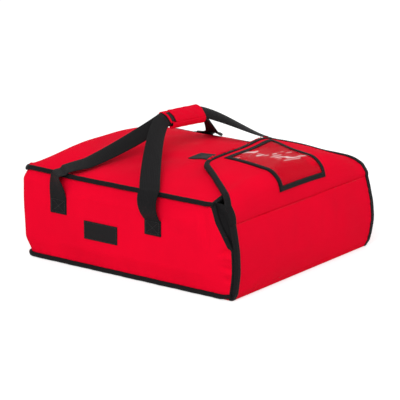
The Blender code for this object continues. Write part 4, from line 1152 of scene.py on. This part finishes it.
def thick_line(points, thickness):
    """Closed outline of a line of (w, n) points with rounded ends."""
    points = np.array(points)
    tangent = unit(np.gradient(points, axis=0))
    normal = np.stack((-tangent[:, 1], tangent[:, 0]), axis=-1)
    half = np.full(len(points), thickness / 2)
    half[[0, -1]] *= 0.5
    return np.concatenate((points + normal * half[:, None], (points - normal * half[:, None])[::-1]))


def grip_piece(name, line, thickness, start, end, look, node_name, body):
    """Cloth of the grip: a line of (w, n) points with a thickness, from start to end along the grip."""
    a = np.linspace(start, end, 36)[:, None]
    w, n = thick_line(line, thickness).T
    loose = GRIP_FLARE * (rise(np.abs(a), 0.040, 0.056) + 0.35 * np.sin(95 * a + 0.8))
    puffed = n + loose * (n / 0.006) * (1 - 0.4 * np.abs(w) / 0.0145) + 0.0003 * np.sin(230 * a + 300 * w)
    dress(loft(name, grip_point(a, w, puffed), look), [node_name], body)


def grip():
    """Sleeve round both straps, the leaf that closes over it, and the strips that hold the leaf."""
    wrap, cover = GRIP_LAYERS["wrap"], GRIP_LAYERS["cover"]
    edge = STRAP_GRIP_WIDTH / 2
    sleeve = [(w, wrap) for w in np.linspace(-edge + 0.002, edge - 0.001, 10)]
    sleeve += arc_points((edge, 0.0), wrap, 90, -90, 12)
    sleeve += [(w, -wrap) for w in np.linspace(edge - 0.001, -edge + 0.001, 10)]
    sleeve += arc_points((-edge, (cover - wrap) / 2), (cover + wrap) / 2, 270, 90, 14)
    leaf = [(w, cover) for w in np.linspace(-edge, edge, 14)]
    for name, line, start, node_name, body in (
        ("grip_sleeve", sleeve, -GRIP_HALF, "grip_wrap", "handle"),
        ("grip_leaf_cloth", leaf, COVER_START, "grip_cover", "grip_leaf"),
    ):
        grip_piece(name, line, GRIP_CLOTH, start, GRIP_HALF, "red", node_name, body)
    strip = edge - 0.004
    end = GRIP_HALF - 0.004
    for word, start, body in (("loop", -end, "handle"), ("hook", COVER_START + 0.004, "grip_leaf")):
        line = [(w, GRIP_LAYERS[word]) for w in np.linspace(-strip, strip, 10)]
        names = f"grip_{word}_pile", f"grip_{word}_strip"
        grip_piece(names[0], line, GRIP_PILE, start, end, "hook", names[1], body)


# Camera, light and floor

CAMERA_TURN = (math.radians(-53.093), math.radians(15.576))
CAMERA_DISTANCE = 4.1875
CAMERA_LENS = 207.53
CAMERA_SHIFT = (0.00454, 0.01676)
LIGHT_TARGET = (0, 0, 0.1)
LIGHTS = (("key", (-3.3, -1.4, 2.5), 2.6, 92), ("fill", (2.4, -2.6, 1.6), 2.4, 14))
WORLD_STRENGTH = 0.62
FLOOR_HALF = 9.0
FLOOR_GLOW = 0.55
WHITE = (1.0, 1.0, 1.0, 1.0)


def make_camera():
    data = bpy.data.cameras.new("camera")
    camera = bpy.data.objects.new("camera", data)
    bpy.context.scene.collection.objects.link(camera)
    bpy.context.scene.camera = camera
    azimuth, elevation = CAMERA_TURN
    back = Vector((
        math.sin(azimuth) * math.cos(elevation),
        -math.cos(azimuth) * math.cos(elevation),
        math.sin(elevation),
    ))
    camera.location = Vector((0, 0, SIDE_HEIGHT / 2)) + back * CAMERA_DISTANCE
    camera.rotation_euler = back.to_track_quat("Z", "Y").to_euler()
    data.sensor_width = 36.0
    data.lens = CAMERA_LENS
    data.shift_x, data.shift_y = CAMERA_SHIFT
    data.clip_end = 30.0


def area_light(name, place, size, power):
    data = bpy.data.lights.new(name, "AREA")
    data.shape = "DISK"
    data.size = size
    data.energy = power
    light = bpy.data.objects.new(name, data)
    light.location = place
    light.rotation_euler = (Vector(place) - Vector(LIGHT_TARGET)).to_track_quat("Z", "Y").to_euler()
    bpy.context.scene.collection.objects.link(light)


def seen_directly(tree):
    """1 for rays from the camera, through film and off gloss, else 0."""
    path = node(tree, "LightPath", {}).outputs
    either = math_node(tree, "MAXIMUM", path["Is Camera Ray"], path["Is Transmission Ray"])
    return math_node(tree, "MAXIMUM", either, path["Is Glossy Ray"])


def make_world():
    """Even light from all sides, which is plain white where it is seen."""
    world = bpy.data.worlds.new("world")
    bpy.context.scene.world = world
    world.use_nodes = True
    tree = world.node_tree
    light = tree.nodes["Background"]
    light.inputs["Color"].default_value = WHITE
    light.inputs["Strength"].default_value = WORLD_STRENGTH
    seen = node(tree, "Background", {"Color": WHITE, "Strength": 1.0})
    mix = node(tree, "MixShader", {0: seen_directly(tree), 1: light.outputs[0], 2: seen.outputs[0]})
    tree.links.new(mix.outputs[0], tree.nodes["World Output"].inputs["Surface"])


def make_floor():
    mesh = bpy.data.meshes.new("floor")
    corners = [(x * FLOOR_HALF, y * FLOOR_HALF, 0) for x, y in ((-1, -1), (1, -1), (1, 1), (-1, 1))]
    mesh.from_pydata(corners, [], [(0, 1, 2, 3)])
    floor = bpy.data.objects.new("floor", mesh)
    bpy.context.scene.collection.objects.link(floor)
    material, shader = material_with("floor_white", (0.72, 0.72, 0.72), 0.9, {"Specular IOR Level": 0.0})
    shader.inputs["Emission Color"].default_value = WHITE
    glow = math_node(material.node_tree, "MULTIPLY", seen_directly(material.node_tree), FLOOR_GLOW)
    material.node_tree.links.new(glow, shader.inputs["Emission Strength"])
    mesh.materials.append(material)


def main():
    make_camera()
    make_world()
    make_floor()
    for light in LIGHTS:
        area_light(*light)
    bpy.context.scene.view_settings.view_transform = "Standard"
    wall_panel()
    top_panel()
    bottom_panel()
    piping("top_piping_rope", "top_piping", 0.1637, MOUTH_EDGE_Y - 0.0010, 0.0015, 0.0040)
    piping("bottom_piping_rope", "bottom_piping", 0.0051, FRONT_Y + 0.0030, 0.0040, 0.0)
    mouth_top_tape()
    front_panel()
    hinge_cloth()
    lap_panel()
    flap_rows = lap_tape()
    pocket()
    bag_rows = hook_and_loop() + label()
    crease_thread()
    for side, word in ((-1, "left"), (1, "right")):
        mouth_tape(side, word)
        gusset(side, word)
        flap_rows.append(flap_tape(side, word))
        for strap_word in STRAP_YS:
            bag_rows += strap(strap_word, side, word)
    for strap_word in STRAP_YS:
        strap_middle(strap_word)
    grip()
    crease_blend(dress(stitches("flap_thread", flap_rows, "thread"), []))
    dress(stitches("bag_thread", bag_rows, "thread"), [], "bag")


main()
